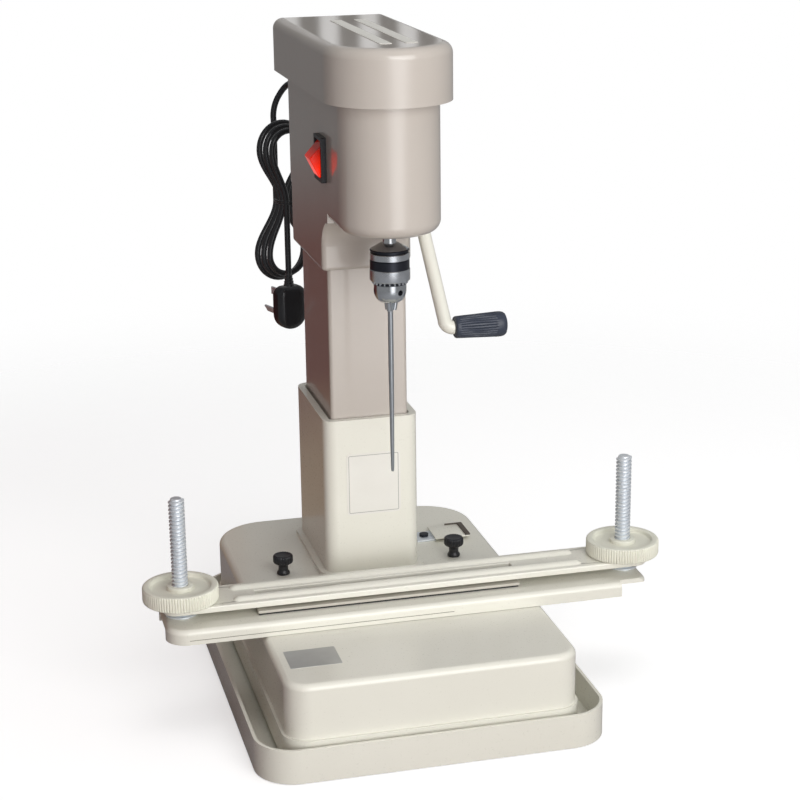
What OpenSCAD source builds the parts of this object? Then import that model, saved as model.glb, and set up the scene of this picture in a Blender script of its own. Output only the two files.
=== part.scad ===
// Desk drilling and binding machine.
// A motor head with a long hollow needle slides down a column and is fed by a hand crank.
// A clamp of two bars on studs carries the paper sideways under the needle.
// Millimetres. X runs to the right, Y to the back and Z up, from the middle of the tray's underside.

/* [Tray] */
// Width of the chip tray along X
tray_width = 262; // [236:1:300]
// Depth of the chip tray along Y
tray_depth = 354; // [346:1:400]
// Height of the tray's rim above the table
tray_height = 26; // [14:1:28]
// Corner radius of the tray at the front
tray_front_corner = 30; // [12:1:45]
// Corner radius of the tray at the rear
tray_rear_corner = 62; // [20:1:70]
// Thickness of the tray's wall and floor
tray_wall = 2.5; // [1.5:0.5:4]

/* [Base] */
// Width of the base cover along X
base_width = 218; // [204:1:224]
// Depth of the base cover along Y
base_depth = 336; // [326:1:340]
// Height of the base's top face above the table
base_top = 70.5; // [62:0.5:80]
// Height of the seam between plinth and cover above the table
seam_height = 28.5; // [20:0.5:36]
// Ledge of the plinth outside the cover
ledge = 2; // [0.5:0.5:4]
// Wall thickness of the plinth and the cover
base_wall = 4; // [3:0.5:6]
// Edge radius round the base's top
base_edge = 5; // [1:0.5:8]
// Corner radius of the base at the front
front_corner = 18; // [8:1:30]
// Corner radius of the base at the rear
rear_corner = 42; // [15:1:50]
// Radius of a rubber foot
foot_radius = 10; // [6:0.5:14]
// Height of a rubber foot
foot_height = 5.5; // [4.5:0.5:8]

/* [Column] */
// Width of the sliding column along X
column_width = 62; // [58:1:70]
// Depth of the sliding column along Y
column_depth = 99; // [92:1:106]
// Front face of the column behind the machine's middle
column_front = 31.5; // [26:0.5:36]
// Wall thickness of the column tube
column_wall = 4; // [3:0.5:5]
// Length of column inside the sleeve with the head up
column_overlap = 70; // [55:1:90]
// Height of the sleeve's top edge above the table
sleeve_top = 200; // [180:1:212]
// Wall thickness of the sleeve
sleeve_wall = 5.5; // [4.5:0.5:8]
// Width of the foot flange round the sleeve
sleeve_flange = 5; // [3:0.5:8]
// Gap between column and sleeve, filled by guide pads
guide_gap = 1.5; // [1:0.1:2.5]

/* [Head] */
// Distance of the spindle axis in front of the machine's middle
spindle_reach = 42.7; // [38:0.1:48]
// Height of the carriage's underside above the table
carriage_bottom = 322; // [312:1:328]
// Height of the motor barrel's underside above the table
barrel_bottom = 364; // [360:1:370]
// Height of the housing's top edge above the table
head_top = 459; // [456:1:475]
// Gap between the column and the carriage wall
head_gap = 2.7; // [1.5:0.1:5]
// Wall thickness of the head housing
head_wall = 4; // [3:0.5:6]
// Thickness of the floors of barrel and carriage
head_floor = 6; // [5:0.5:8]
// Edge radius round the barrel's underside
barrel_edge = 9; // [3:0.5:12]
// Distance of the carriage's front face from the column
carriage_nose = 13.5; // [8:0.5:18]
// Radius of the carriage's right front corner
carriage_right_corner = 29; // [5:1:29]
// Edge radius round the carriage's underside
carriage_edge = 3; // [1:0.5:3.5]
// Radius of the hollow between barrel and carriage
throat_radius = 25; // [10:1:28]

/* [Cap] */
// Height of the top cap
cap_height = 41; // [36:1:50]
// Overhang of the cap past the housing
cap_overhang = 9.3; // [5:0.1:12]
// Edge radius round the cap's top
cap_edge = 8; // [3:0.5:12]
// Wall thickness of the cap
cap_wall = 3; // [2:0.5:5]

/* [Motor] */
// Radius of the stator
stator_radius = 30; // [26:0.5:32]
// Length of the stator
stator_length = 52; // [44:1:54]
// Radius of the rotor
rotor_radius = 17.5; // [14:0.5:20]
// Radius of the spindle shaft
shaft_radius = 5; // [4:0.5:6]
// Outer radius of a ball bearing
bearing_radius = 15; // [11:0.5:17]
// Width of a ball bearing
bearing_width = 9; // [7:0.5:10]

/* [Chuck] */
// Radius of the drill chuck
chuck_radius = 15; // [14:0.5:18]
// Length of the chuck's body without its jaws
chuck_length = 44; // [42:1:50]
// Radius of the needle
needle_radius = 2; // [1.5:0.1:2.2]
// Length of needle that shows below the jaws
needle_length = 125.5; // [110:0.5:130]
// Travel of a jaw along its bore
jaw_travel = 4; // [2:0.5:4]

/* [Feed] */
// Position of the crank shaft behind the machine's middle
crank_y = 60; // [54:1:64]
// Height of the crank shaft above the table
crank_z = 360.5; // [354:0.5:366]
// Module of the rack and pinion teeth
tooth_module = 2; // [1.5:0.1:2.2]
// Number of teeth on the pinion
pinion_teeth = 16; // [14:1:18]
// Radius of the crank shaft
crank_shaft_radius = 6; // [5:0.5:7]
// Forward reach of the crank arm
crank_forward = 61.5; // [50:0.5:70]
// Drop of the crank arm
crank_drop = 84.5; // [70:0.5:95]
// Outward lean of the crank arm
crank_lean = 6; // [5.5:0.5:16]
// Radius of the crank arm's rod
arm_radius = 5.2; // [4.5:0.1:5.5]
// Length of the grip
grip_length = 41; // [32:1:60]
// Radius of the grip at its outer end
grip_radius = 9.8; // [8:0.1:13]

/* [Clamp] */
// Distance between the two studs
stud_span = 350; // [330:1:380]
// Radius of a stud
stud_radius = 6; // [5:0.5:7]
// Height of a stud's top above the table
stud_top = 174; // [150:1:180]
// Offset of the clamp to the right of the spindle
clamp_offset = 10.4; // [-20:0.1:20]
// Length of both bars past the studs' axes
bar_past_stud = 15; // [12:0.5:25]
// Depth of the press bar along Y
press_depth = 40.5; // [36:0.5:50]
// Thickness of the press bar
press_thickness = 4.8; // [4:0.1:6]
// Edge radius round the press bar's top
press_edge = 1.2; // [0.5:0.1:2]
// Width of the needle slot in the press bar
slot_width = 6; // [5:0.1:9]
// Reach of the needle slot to the left of the clamp's middle
slot_left = 119; // [90:1:125]
// Reach of the needle slot to the right of the clamp's middle
slot_right = 83; // [70:1:125]
// Reach of the lower bar in front of the studs
lower_reach_front = 35; // [32:0.1:48]
// Reach of the lower bar behind the studs
lower_reach_rear = 32.7; // [28:0.1:38]
// Height of the lower bar with its flanges
lower_height = 11.2; // [9:0.1:15]
// Edge radius round the lower bar's top
lower_edge = 4; // [1:0.5:5]
// Sheet thickness of the lower bar
lower_sheet = 3.5; // [2.5:0.1:4]
// Thickness of the backing strips under the paper
strip_thickness = 3.5; // [3:0.1:4.5]
// Radius of a hand nut
nut_radius = 28.5; // [24:0.5:32]
// Height of a hand nut
nut_height = 12; // [9:0.5:16]

/* [Switch] */
// Width of the switch bezel along Y
bezel_width = 26; // [24:0.5:30]
// Height of the switch bezel along Z
bezel_height = 33.5; // [30:0.5:36]
// Position of the switch behind the machine's middle
switch_y = 7; // [2:0.5:12]
// Distance of the switch below the middle of the barrel's side
switch_low = 0.5; // [-8:0.5:8]
// Height of the rocker's ridge above the bezel
rocker_ridge = 9; // [6:0.5:12]

/* [Knobs] */
// Distance of a knob from the cover's side
knob_inset = 38; // [29:0.5:46]
// Thumb knobs behind the machine's middle
knob_y = 41.6; // [32:0.1:60]
// Radius of a thumb knob's head
knob_radius = 8; // [6:0.5:11]
// Height of a thumb knob
knob_height = 16.5; // [13:0.5:22]

/* [Cord] */
// Diameter of the mains cord
cord_diameter = 5; // [4.6:0.1:5.1]
// Loops of the hank
hank_loops = 3; // [1:2:3]
// Half width of the hank's first loop
hank_outer = 23; // [20:0.5:26]
// Half width of the hank's last loop
hank_inner = 15; // [15:0.5:18]
// Straight half length of the hank's runs
hank_run = 44; // [44:1:48]
// Width of the plug
plug_width = 27; // [24:0.5:34]
// Height of the plug's body
plug_height = 37; // [32:0.5:42]
// Thickness of the plug's body
plug_thickness = 17; // [15:0.5:20]

/* [Hidden] */
$fn = 64;

// Colours
cream = "#dedccf";
taupe = "#c5bbb2";
steel = "#b9bcc0";
zinc = "#c3cad3";
dark = "#24252a";
slate = "#4a4f5c";
red = "#c8281e";
bronze = "#a9793f";
nut_paint = "#d3d2c2";
nylon = "#e8e4d8";
laminations = "#6d6f73";
cast_alloy = "#9aa0a6";
winding = "#8a6a4a";

// Clearances
running = 0.05;
hole_gap = 0.1;
slide_gap = 0.3;
face_gap = 0.2;
least_corner = 0.5;
over = 1;

// Base levels and fixings
plinth_floor = 3;
plinth_bottom = tray_wall + foot_height;
floor_top = plinth_bottom + plinth_floor;
foot_inset = 24;
foot_x = base_width / 2 - foot_inset;
knob_x = base_width / 2 - knob_inset;
foot_y = 100;
screw_radius = 2;
screw_hole = screw_radius + hole_gap;
screw_head = 3.8;
screw_head_height = 2.2;
boss_radius = 6;
boss_inset = [29, 43];
boss_x = base_width / 2 - boss_inset[0];
boss_y = base_depth / 2 - boss_inset[1];
boss_bite = 12;

// Column levels
column_rear = column_front + column_depth;
column_mid = column_front + column_depth / 2;
column_corner = 3;
column_bottom = sleeve_top - column_overlap;
column_top = carriage_bottom + head_floor;
sleeve_inner_width = column_width + 2 * guide_gap;
sleeve_inner_depth = column_depth + 2 * guide_gap;
sleeve_flange_height = 3;
sleeve_screw_bite = 10;
sleeve_screw_head = 2.6;
pad_length = 25;
pad_inset = 5;
pad_ends = [column_bottom + pad_inset, sleeve_top - pad_inset - pad_length];
pad_share = 0.7;

// Head levels
spindle_y = -spindle_reach;
head_half = column_width / 2 + head_gap + head_wall;
head_inner_half = head_half - head_wall;
head_rear_gap = 0.5;
head_rear = column_rear + head_rear_gap + head_wall;
carriage_front = column_front - carriage_nose;
throat_lip = 2;
throat_lap = 1;
carriage_corner = 4;
plate_thickness = 4;
plate_lip = 2;
cap_half = head_half + cap_overhang;
cap_rear_short = 1.3;
cap_rear = head_rear + cap_overhang - cap_rear_short;
cap_spigot = 2;
cap_spigot_depth = 6;

// Motor levels
bracket_floor = 1;
bracket_gap = 0.2;
lower_bracket_bottom = barrel_bottom + head_floor;
lower_bracket_top = lower_bracket_bottom + bracket_floor + bearing_width;
air_gap = 0.5;
stator_bore = rotor_radius + air_gap;
stator_top = lower_bracket_top + stator_length;
upper_bracket_wall = 3;
upper_bracket_top = stator_top + bearing_width + upper_bracket_wall;
rotor_margin = 6;
fan_radius = 24;
fan_height = 7;
fan_gap = 1;
fan_blades = 9;
fan_hub_wall = 4;
fan_blade = 1.6;
shaft_past_fan = 1;
shaft_top = upper_bracket_top + fan_gap + fan_height + shaft_past_fan;
motor_screw_ring = (stator_bore + stator_radius) / 2;
motor_screw_count = 3;

// Chuck levels, counted down from the top of the chuck
chuck_drop = 9;
chuck_top = barrel_bottom - chuck_drop;
chuck_bottom = chuck_top - chuck_length;
chuck_wall = 3.5;
chuck_core = chuck_radius - chuck_wall;
chuck_shoulder = 4.5;
chuck_groove = [5.5, 7];
chuck_collar = 12;
chuck_sleeve_bottom = 30;
chuck_band = 6.7;
chuck_step = 0.4;
chuck_groove_depth = 2;
chuck_crown = 2.2;
chuck_chamfer = 1;
chuck_nose = [[7, 0], [10.2, 2.4], [11.5, 6.5]];
shaft_bite = 9;
jaw_radius = 1.8;
jaw_lean = 10;
jaw_show = 6.5;
jaw_length = 24;
jaw_bite = 0.9;
jaw_tip_radius = needle_radius + jaw_radius - jaw_bite;
jaw_bottom = chuck_bottom - jaw_show;
needle_shank = 26;
needle_tip = jaw_bottom - needle_length;
needle_point = 6;
needle_grind = 0.4;
needle_wall = 0.6;

// Clamp levels
clamp_x = [clamp_offset - stud_span / 2, clamp_offset + stud_span / 2];
bar_half = stud_span / 2 + bar_past_stud;
bar_corner = 10;
lower_bottom = base_top + slide_gap;
lower_top = lower_bottom + lower_height;
lower_front = spindle_y - lower_reach_front;
lower_rear = spindle_y + lower_reach_rear;
lower_flange = 3;
lower_corner = 16;
lower_short = 4;
flange_short = 27.5;
flange_right = bar_half - flange_short;
notch_depth = 6;
washer_thickness = 1.2;
washer_radius = 12;
jam_height = 5.2;
jam_flats = 19;
press_bottom = lower_top + washer_thickness + jam_height;
press_top = press_bottom + press_thickness;
stud_head = 10;
stud_head_gap = 0.8;
stud_hole_gap = 0.6;
stud_dome = 3;
stud_bevel = 2;
bead_reach = 132;
bead_offset = 11;
bead_radius = 6;
bead_height = 2.5;
strip_past_slot = 1;
channel_width = 6;
nut_bottom = press_top + face_gap;
nut_rim = 5;
nut_hub = 10;
nut_recess = 3.3;
nut_chamfer = 1;
rail_half = 60;
rail_screw_x = 40;
rail_counterbore = 4.5;

// Feed
needle_stop = 2;
feed_stroke = needle_tip - lower_top - needle_stop;
pinion_pitch = tooth_module * pinion_teeth / 2;
pinion_width = 16;
rack_width = 12;
rack_back = 10;
rack_pitch_y = crank_y + pinion_pitch;
tooth_pitch = PI * tooth_module;
tooth_relief = 0.25;
pressure_angle = 20;
tooth_depth = 1.25 * tooth_module;
rack_addendum = 0.8 * tooth_module;
rack_root_y = rack_pitch_y + tooth_depth;
rack_teeth_above = 3;
rack_teeth_below = ceil(feed_stroke / tooth_pitch) + 3;
rack_top = crank_z + (rack_teeth_above + 0.5) * tooth_pitch;
rack_foot = [34, 60, 8];
rack_bolt_y = 21;
bush_wall = 3;
bush_radius = crank_shaft_radius + bush_wall;
bush_length = 9;
boss_wall = 4;
crank_boss = bush_radius + boss_wall;
boss_stand = 2.8;
crank_face = head_half + boss_stand;
crank_washer_thickness = 1.2;
crank_hub_in = crank_face + face_gap + crank_washer_thickness;
crank_hub_radius = 12;
bend_radius = 6;
bend_swell = 0.2;
bend_lap = 1;
crank_hub_length = 12;
crank_hub_out = crank_hub_in + crank_hub_length;
crank_arm_x = (crank_hub_in + crank_hub_out) / 2;
crank_bend = [crank_arm_x + crank_lean, crank_y - crank_forward, crank_z - crank_drop];
crank_screw_head = 8.5;
crank_screw_bite = 8;
grip_pin = 4;
grip_gap = 0.6;
crank_reach = crank_bend - [crank_arm_x, crank_y, crank_z];
bend_angle = acos(crank_reach[0] / norm(crank_reach));
bend_setback = bend_radius * tan(bend_angle / 2);
grip_start = crank_bend[0] + bend_setback + grip_gap;
grip_wall = 5;
grip_taper = 1.3;
grip_neck = grip_radius - grip_taper;
grip_chamfer = 1;
grip_shoulder = 6;
grip_round = [[0.6, 3], [3, 0]];

// Switch
switch_z = (barrel_bottom + head_top) / 2 - switch_low;
switch_body_margin = 2;
switch_depth = 22;
bezel_thickness = 4;
rocker_margin = 3;
rocker_gap = 0.7;
rocker_tilt = 8;
rocker_pivot = 1;
rocker_skirt = 3;

// Knobs and bracket
knob_shank = 3;
knob_bite = 12;
knob_foot = 5;
knob_neck = 4;
knob_foot_height = 4.5;
knob_neck_height = 8;
knob_edge = 3;
bracket_sheet = 1.5;
bracket_rise = 2.5;
bracket_foot = [16, 20];
bracket_tongue = [30, 28];
bracket_at = [58, 88];
bracket_pad_width = 8;
bracket_pad_height = 1.2;

// Cord
cord_radius = cord_diameter / 2;
cord_sides = 10;
loop_rings = 24;
loop_sides = 6;
gland_x = -28;
gland_drop = 13;
gland_z = head_top - gland_drop;
gland_length = 22;
gland_flange = 8;
gland_flange_height = 3;
gland_hole = 5;
gland_mouth = 4;
lead_start = [gland_x, head_rear + gland_length, gland_z];
lead_steps = [
    [0, 0, 0],
    [0, 5, 0],
    [-0.5, 11, -1],
    [-2.5, 16.5, -3],
    [-5, 21.5, -6.5],
    [-7.5, 25, -11],
    [-10, 28, -16.5],
    [-12, 29, -22.5],
    [-13, 29, -28.5],
    [-13, 29, -34]
];
lead_route = [for (step = lead_steps) lead_start + step];
hank_turn = 20;
hank_pinch = 3.2;
hank_gap = 0.6;
hank_layer = cord_diameter + hank_gap;
hank_start = lead_route[len(lead_route) - 1];
hank_drop = 66;
hank_waist = hank_start[2] - hank_drop;
hank_across = [cos(hank_turn), sin(hank_turn), 0];
hank_along = [-sin(hank_turn), cos(hank_turn), 0];
hank_middle = hank_start + hank_pinch * hank_across - hank_loops / 2 * hank_layer * hank_along;
tail_drop = 60;
tail_bottom = hank_waist - tail_drop;
tie_gap = 1.1;
tie_wall = 1.2;
tie_height = 5;
plug_at = hank_start - hank_loops * hank_layer * hank_along;
plug_relief = 10;
relief_wall = [2, 0.7];
plug_top = tail_bottom - plug_relief;
plug_corner = 10;
blade_length = 18;
blade = [6.4, 1.6];
blade_spread = 7;
blade_drop = 5;
blade_tilt = 30;
earth_rise = 9;
earth_extra = 2;
plug_turn = 20;

// Shared shapes

// Flat rectangle with round corners about the origin
module rounded_rect(width, depth, radius) {
    square([width - 2 * radius, depth], center = true);
    square([width, depth - 2 * radius], center = true);
    for (side_x = [-1, 1], side_y = [-1, 1])
        translate([side_x * (width / 2 - radius), side_y * (depth / 2 - radius)])
            circle(r = radius);
}

// Plan with its own front and rear corner radius, grown by an amount
module two_corner_plan(width, depth, front_radius, rear_radius, grow) {
    half_x = width / 2 + grow;
    half_y = depth / 2 + grow;
    front = front_radius + grow;
    rear = rear_radius + grow;
    translate([-half_x + front, -half_y])
        square([2 * (half_x - front), half_y]);
    translate([-half_x, -half_y + front])
        square([2 * half_x, 2 * half_y - front - rear]);
    translate([-half_x + rear, 0])
        square([2 * (half_x - rear), half_y]);
    for (side = [-1, 1]) {
        translate([side * (half_x - front), -half_y + front]) circle(r = front);
        translate([side * (half_x - rear), half_y - rear]) circle(r = rear);
    }
}

module base_plan(grow) {
    two_corner_plan(base_width, base_depth, front_corner, rear_corner, grow);
}

module tray_plan(grow) {
    two_corner_plan(tray_width, tray_depth, tray_front_corner, tray_rear_corner, grow);
}

// Plan of the carriage, with one large front corner, grown by an amount
module carriage_plan(grow) {
    half = head_half + grow;
    front = carriage_front - grow;
    rear = head_rear + grow;
    small = max(carriage_corner + grow, least_corner);
    large = max(carriage_right_corner + grow, least_corner);
    translate([-half, front + small]) square([2 * half - large, rear - front - 2 * small]);
    translate([-half + small, front]) square([2 * half - small - large, rear - front]);
    translate([0, front + large]) square([half, rear - front - large - small]);
    translate([0, rear - small - large]) square([half - small, small + large]);
    translate([half - large, front + large]) circle(r = large);
    translate([half - small, rear - small]) circle(r = small);
    translate([-half + small, front + small]) circle(r = small);
    translate([-half + small, rear - small]) circle(r = small);
}

// Plan of the head: round about the spindle at the front, straight to the rear
module arch_plan(half_width, rear) {
    translate([0, spindle_y]) circle(r = half_width);
    translate([-half_width, spindle_y]) square([2 * half_width, rear - spindle_y]);
}

// Half section of a block with one round edge, at its top or its bottom
module edge_profile(half_width, height, edge, at_top) {
    square([half_width - edge, height]);
    translate([0, at_top ? 0 : edge]) square([half_width, height - edge]);
    translate([half_width - edge, at_top ? height - edge : edge]) circle(r = edge);
}

// Block on the head's plan with one round edge
module arch_block(half_width, rear, bottom, height, edge, at_top) {
    translate([0, spindle_y, bottom])
        rotate_extrude() intersection() {
            edge_profile(half_width, height, edge, at_top);
            square([half_width + over, height + over]);
        }
    translate([0, rear, bottom])
        rotate([90, 0, 0])
            linear_extrude(rear - spindle_y) {
                edge_profile(half_width, height, edge, at_top);
                mirror([1, 0]) edge_profile(half_width, height, edge, at_top);
            }
}

// Block with its own radius at each corner and one round edge, at its top or its bottom.
// The corners run from the left front one, counter-clockwise as seen from above.
module soft_block(low, high, corners, bottom, height, edge, at_top) {
    middle = (low + high) / 2;
    signs = [[-1, -1], [1, -1], [1, 1], [-1, 1]];
    centres = [for (k = [0 : 3])
        let (end = [signs[k][0] < 0 ? low[0] : high[0], signs[k][1] < 0 ? low[1] : high[1]])
        [end[0] - signs[k][0] * corners[k], end[1] - signs[k][1] * corners[k]]];
    half = high - middle;
    reaches = [half[1], half[0], half[1], half[0]];
    for (k = [0 : 3]) {
        next = (k + 1) % 4;
        turn = 90 * k;
        along = [cos(turn), sin(turn)];
        start = (centres[k] - middle) * along;
        end = (centres[next] - middle) * along;
        translate([centres[k][0], centres[k][1], bottom])
            rotate(180 + turn)
                rotate_extrude(angle = 90) intersection() {
                    edge_profile(corners[k], height, min(edge, corners[k]), at_top);
                    square([corners[k] + over, height + over]);
                }
        translate([middle[0], middle[1], bottom])
            rotate(turn - 90)
                translate([0, end, 0])
                    rotate([90, 0, 0])
                        linear_extrude(end - start) edge_profile(reaches[k], height, edge, at_top);
    }
}

// Column tube section about its own middle, grown outward by an amount
module column_plan(grow) {
    translate([0, column_mid])
        rounded_rect(column_width + 2 * grow, column_depth + 2 * grow,
            max(column_corner + grow, least_corner));
}

// Screw with its head above z = 0 and its shank below
module screw(length, radius = screw_radius, head = screw_head, head_height = screw_head_height) {
    translate([0, 0, -length]) cylinder(r = radius, h = length);
    cylinder(r = head, h = head_height);
}

// Copies of the children at the four corners of a rectangle
module at_corners(half_x, half_y) {
    for (side_x = [-1, 1], side_y = [-1, 1])
        translate([side_x * half_x, side_y * half_y]) children();
}

// Copies of the children in the four walls of the sleeve
module at_sleeve_walls() {
    wall_x = (sleeve_inner_width + sleeve_wall) / 2;
    wall_y = (sleeve_inner_depth + sleeve_wall) / 2;
    for (side = [-1, 1]) {
        translate([side * wall_x, column_mid]) children();
        translate([0, column_mid + side * wall_y]) children();
    }
}

// Copies of the children in the four corners of the column's wall
module at_column_walls() {
    wall_x = (column_width - column_wall) / 2;
    wall_y = column_depth / 4;
    translate([0, column_mid]) at_corners(wall_x, wall_y) children();
}

// Swept tube along a list of points

function unit(v) = v / norm(v);
function tangent(path, i) = unit(path[min(i + 1, len(path) - 1)] - path[max(i - 1, 0)]);
function square_to(v, t) = unit(v - (v * t) * t);
function ring_sides(path) = [
    for (i = 0, v = square_to([1, 0.3, 0.2], tangent(path, 0));
         i < len(path);
         i = i + 1, v = square_to(v, tangent(path, min(i, len(path) - 1)))) v
];
function ring(centre, t, v, radius, sides) = [
    for (k = [0 : sides - 1])
        centre + radius * (cos(360 * k / sides) * v + sin(360 * k / sides) * cross(t, v))
];
function tube_points(path, radius, sides) = let (sides_list = ring_sides(path)) [
    for (i = [0 : len(path) - 1]) each ring(path[i], tangent(path, i), sides_list[i], radius, sides)
];
function tube_faces(rings, sides) = concat(
    [for (k = [1 : sides - 2]) [0, k, k + 1]],
    [for (i = [0 : rings - 2], k = [0 : sides - 1]) each
        let (a = i * sides + k, b = i * sides + (k + 1) % sides, c = b + sides, d = a + sides)
        [[a, d, c], [a, c, b]]],
    [let (last = (rings - 1) * sides) for (k = [1 : sides - 2]) [last, last + k + 1, last + k]]
);

module tube(path, radius, sides) {
    polyhedron(tube_points(path, radius, sides), tube_faces(len(path), sides));
}

// Least gap between stretches of a tube that lie far apart along it
function fine(path, steps) = [
    for (i = [0 : len(path) - 2], k = [0 : steps - 1]) path[i] + (path[i + 1] - path[i]) * k / steps
];
function self_gap(points, apart, diameter) = min([
    for (i = [0 : len(points) - 1], j = [i + apart : 1 : len(points) - 1]) norm(points[i] - points[j])
]) - diameter;

// Hank of cord

// Half width of the loops after some turns
function loop_half(turn) = hank_outer - (hank_outer - hank_inner) * turn / hank_loops;
// Distance of a run from the hank's middle at a height above the waist
function drawn_in(half, height) = hank_pinch + (half - hank_pinch) * (1 - cos(180 * height / hank_run)) / 2;
// Steps of one loop: half a run down, a fold, a run up, a fold and half a run down
run_steps = 7;
fold_steps = 5;
fold_one = run_steps / 2;
run_two = fold_one + fold_steps;
fold_two = run_two + run_steps;
run_three = fold_two + fold_steps;
function loop_across(step, half) =
    step < fold_one ? -drawn_in(half, hank_run * step / fold_one) :
    step < run_two ? -half * cos(180 * (step - fold_one) / fold_steps) :
    step < fold_two ? drawn_in(half, hank_run * (2 * (step - run_two) / run_steps - 1)) :
    step < run_three ? half * cos(180 * (step - fold_two) / fold_steps) :
    -drawn_in(half, hank_run * (loop_rings - step) / fold_one);
function loop_height(step, half) =
    step < fold_one ? -hank_run * step / fold_one :
    step < run_two ? -hank_run - half * sin(180 * (step - fold_one) / fold_steps) :
    step < fold_two ? hank_run * (2 * (step - run_two) / run_steps - 1) :
    step < run_three ? hank_run + half * sin(180 * (step - fold_two) / fold_steps) :
    hank_run * (loop_rings - step) / fold_one;
function loop_climb(step) = min(max((step - run_two) / run_steps, 0), 1);
function hank_point(across, along, height) =
    [hank_middle[0], hank_middle[1], hank_waist + height] + across * hank_across + along * hank_along;
function loop_point(k) =
    let (turn = floor(k / loop_rings), step = k - turn * loop_rings, half = loop_half(k / loop_rings))
    hank_point(
        loop_across(step, half),
        (hank_loops / 2 - turn - loop_climb(step)) * hank_layer,
        loop_height(step, half));
hank_path = concat(
    [hank_start, hank_start - [0, 0, cord_diameter], hank_start - [0, 0, 4 * cord_diameter]],
    [for (k = [0 : hank_loops * loop_rings]) loop_point(k)],
    [for (height = [tail_bottom + 8 * cord_diameter, tail_bottom + cord_diameter, tail_bottom])
        [plug_at[0], plug_at[1], height]]
);
gap_steps = 3;
gap_apart = 9;
echo(hank_least_gap = self_gap(fine(hank_path, gap_steps), gap_apart, cord_diameter));

// Length of a path
function path_length(path) = [for (i = [1 : len(path) - 1]) norm(path[i] - path[i - 1])] *
    [for (i = [1 : len(path) - 1]) 1];
echo(cord_length = path_length(lead_route) + path_length(hank_path));

// Rack and pinion teeth

rack_half = tooth_pitch / 4 - tooth_relief / 2;
rack_slope = tan(pressure_angle);
base_circle = pinion_pitch * cos(pressure_angle);
root_circle = pinion_pitch - tooth_depth;
tip_circle = pinion_pitch + tooth_module;
flank_steps = 5;
tooth_sink = 0.5;
function roll(radius) = sqrt(max(pow(radius / base_circle, 2) - 1, 0));
function involute(radius) = roll(radius) * 180 / PI - atan(roll(radius));
function flank_angle(radius) =
    rack_half / pinion_pitch * 180 / PI + involute(pinion_pitch) - involute(radius);
flank_radii = concat(
    [root_circle - tooth_sink],
    [for (k = [0 : flank_steps]) base_circle + (tip_circle - base_circle) * k / flank_steps]
);
function polar(radius, angle) = [radius * cos(angle), radius * sin(angle)];
tooth_outline = concat(
    [for (radius = flank_radii) polar(radius, -flank_angle(radius))],
    [for (k = [len(flank_radii) - 1 : -1 : 0]) polar(flank_radii[k], flank_angle(flank_radii[k]))]
);

// Tray and base

module chip_tray() {
    color(cream) difference() {
        linear_extrude(tray_height) tray_plan(0);
        translate([0, 0, tray_wall]) linear_extrude(tray_height) tray_plan(-tray_wall);
    }
}

module rubber_feet() {
    color(dark) at_corners(foot_x, foot_y)
        translate([0, 0, tray_wall]) cylinder(r = foot_radius, h = foot_height);
}

module base_plinth() {
    color(cream) difference() {
        translate([0, 0, plinth_bottom]) linear_extrude(seam_height - plinth_bottom) base_plan(ledge);
        translate([0, 0, floor_top]) linear_extrude(seam_height) base_plan(ledge - base_wall);
        at_corners(boss_x, boss_y)
            translate([0, 0, plinth_bottom - over])
                cylinder(r = screw_hole, h = plinth_floor + 2 * over);
        for (side = [-1, 1])
            translate([0, rack_root_y + rack_back / 2 + side * rack_bolt_y, plinth_bottom - over])
                cylinder(r = screw_hole, h = plinth_floor + 2 * over);
    }
}

module base_cover() {
    color(cream) difference() {
        union() {
            difference() {
                soft_block([-base_width / 2, -base_depth / 2], [base_width / 2, base_depth / 2],
                    [front_corner, front_corner, rear_corner, rear_corner],
                    seam_height, base_top - seam_height, base_edge, true);
                translate([0, 0, seam_height - over])
                    linear_extrude(base_top - base_wall - seam_height + over) base_plan(-base_wall);
            }
            at_corners(boss_x, boss_y)
                translate([0, 0, floor_top])
                    cylinder(r = boss_radius, h = base_top - base_wall / 2 - floor_top);
        }
        translate([0, 0, seam_height]) linear_extrude(base_top) column_plan(guide_gap);
        at_corners(boss_x, boss_y)
            translate([0, 0, floor_top - over]) cylinder(r = screw_hole, h = boss_bite + 2 * over);
        at_sleeve_walls()
            translate([0, 0, seam_height]) cylinder(r = screw_hole, h = base_top);
        for (side = [-1, 1]) {
            translate([side * knob_x, knob_y, seam_height]) cylinder(r = knob_shank + running, h = base_top);
            translate([side * rail_screw_x, spindle_y, seam_height])
                cylinder(r = screw_hole, h = base_top);
        }
        translate([bracket_at[0], bracket_at[1], seam_height])
            cylinder(r = screw_hole, h = base_top);
    }
}

module cover_screws() {
    color(steel) at_corners(boss_x, boss_y)
        translate([0, 0, plinth_bottom]) mirror([0, 0, 1]) screw(plinth_floor + boss_bite);
}

module column_sleeve() {
    color(cream) difference() {
        union() {
            translate([0, 0, base_top])
                linear_extrude(sleeve_top - base_top) column_plan(guide_gap + sleeve_wall);
            translate([0, 0, base_top])
                linear_extrude(sleeve_flange_height) column_plan(guide_gap + sleeve_wall + sleeve_flange);
        }
        translate([0, 0, base_top - over])
            linear_extrude(sleeve_top - base_top + 2 * over) column_plan(guide_gap);
        at_sleeve_walls()
            translate([0, 0, base_top - over])
                cylinder(r = screw_hole, h = sleeve_screw_bite + 2 * over);
    }
}

module sleeve_screws() {
    color(steel) at_sleeve_walls()
        translate([0, 0, base_top - base_wall])
            mirror([0, 0, 1]) screw(base_wall + sleeve_screw_bite, head = sleeve_screw_head);
}

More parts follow.
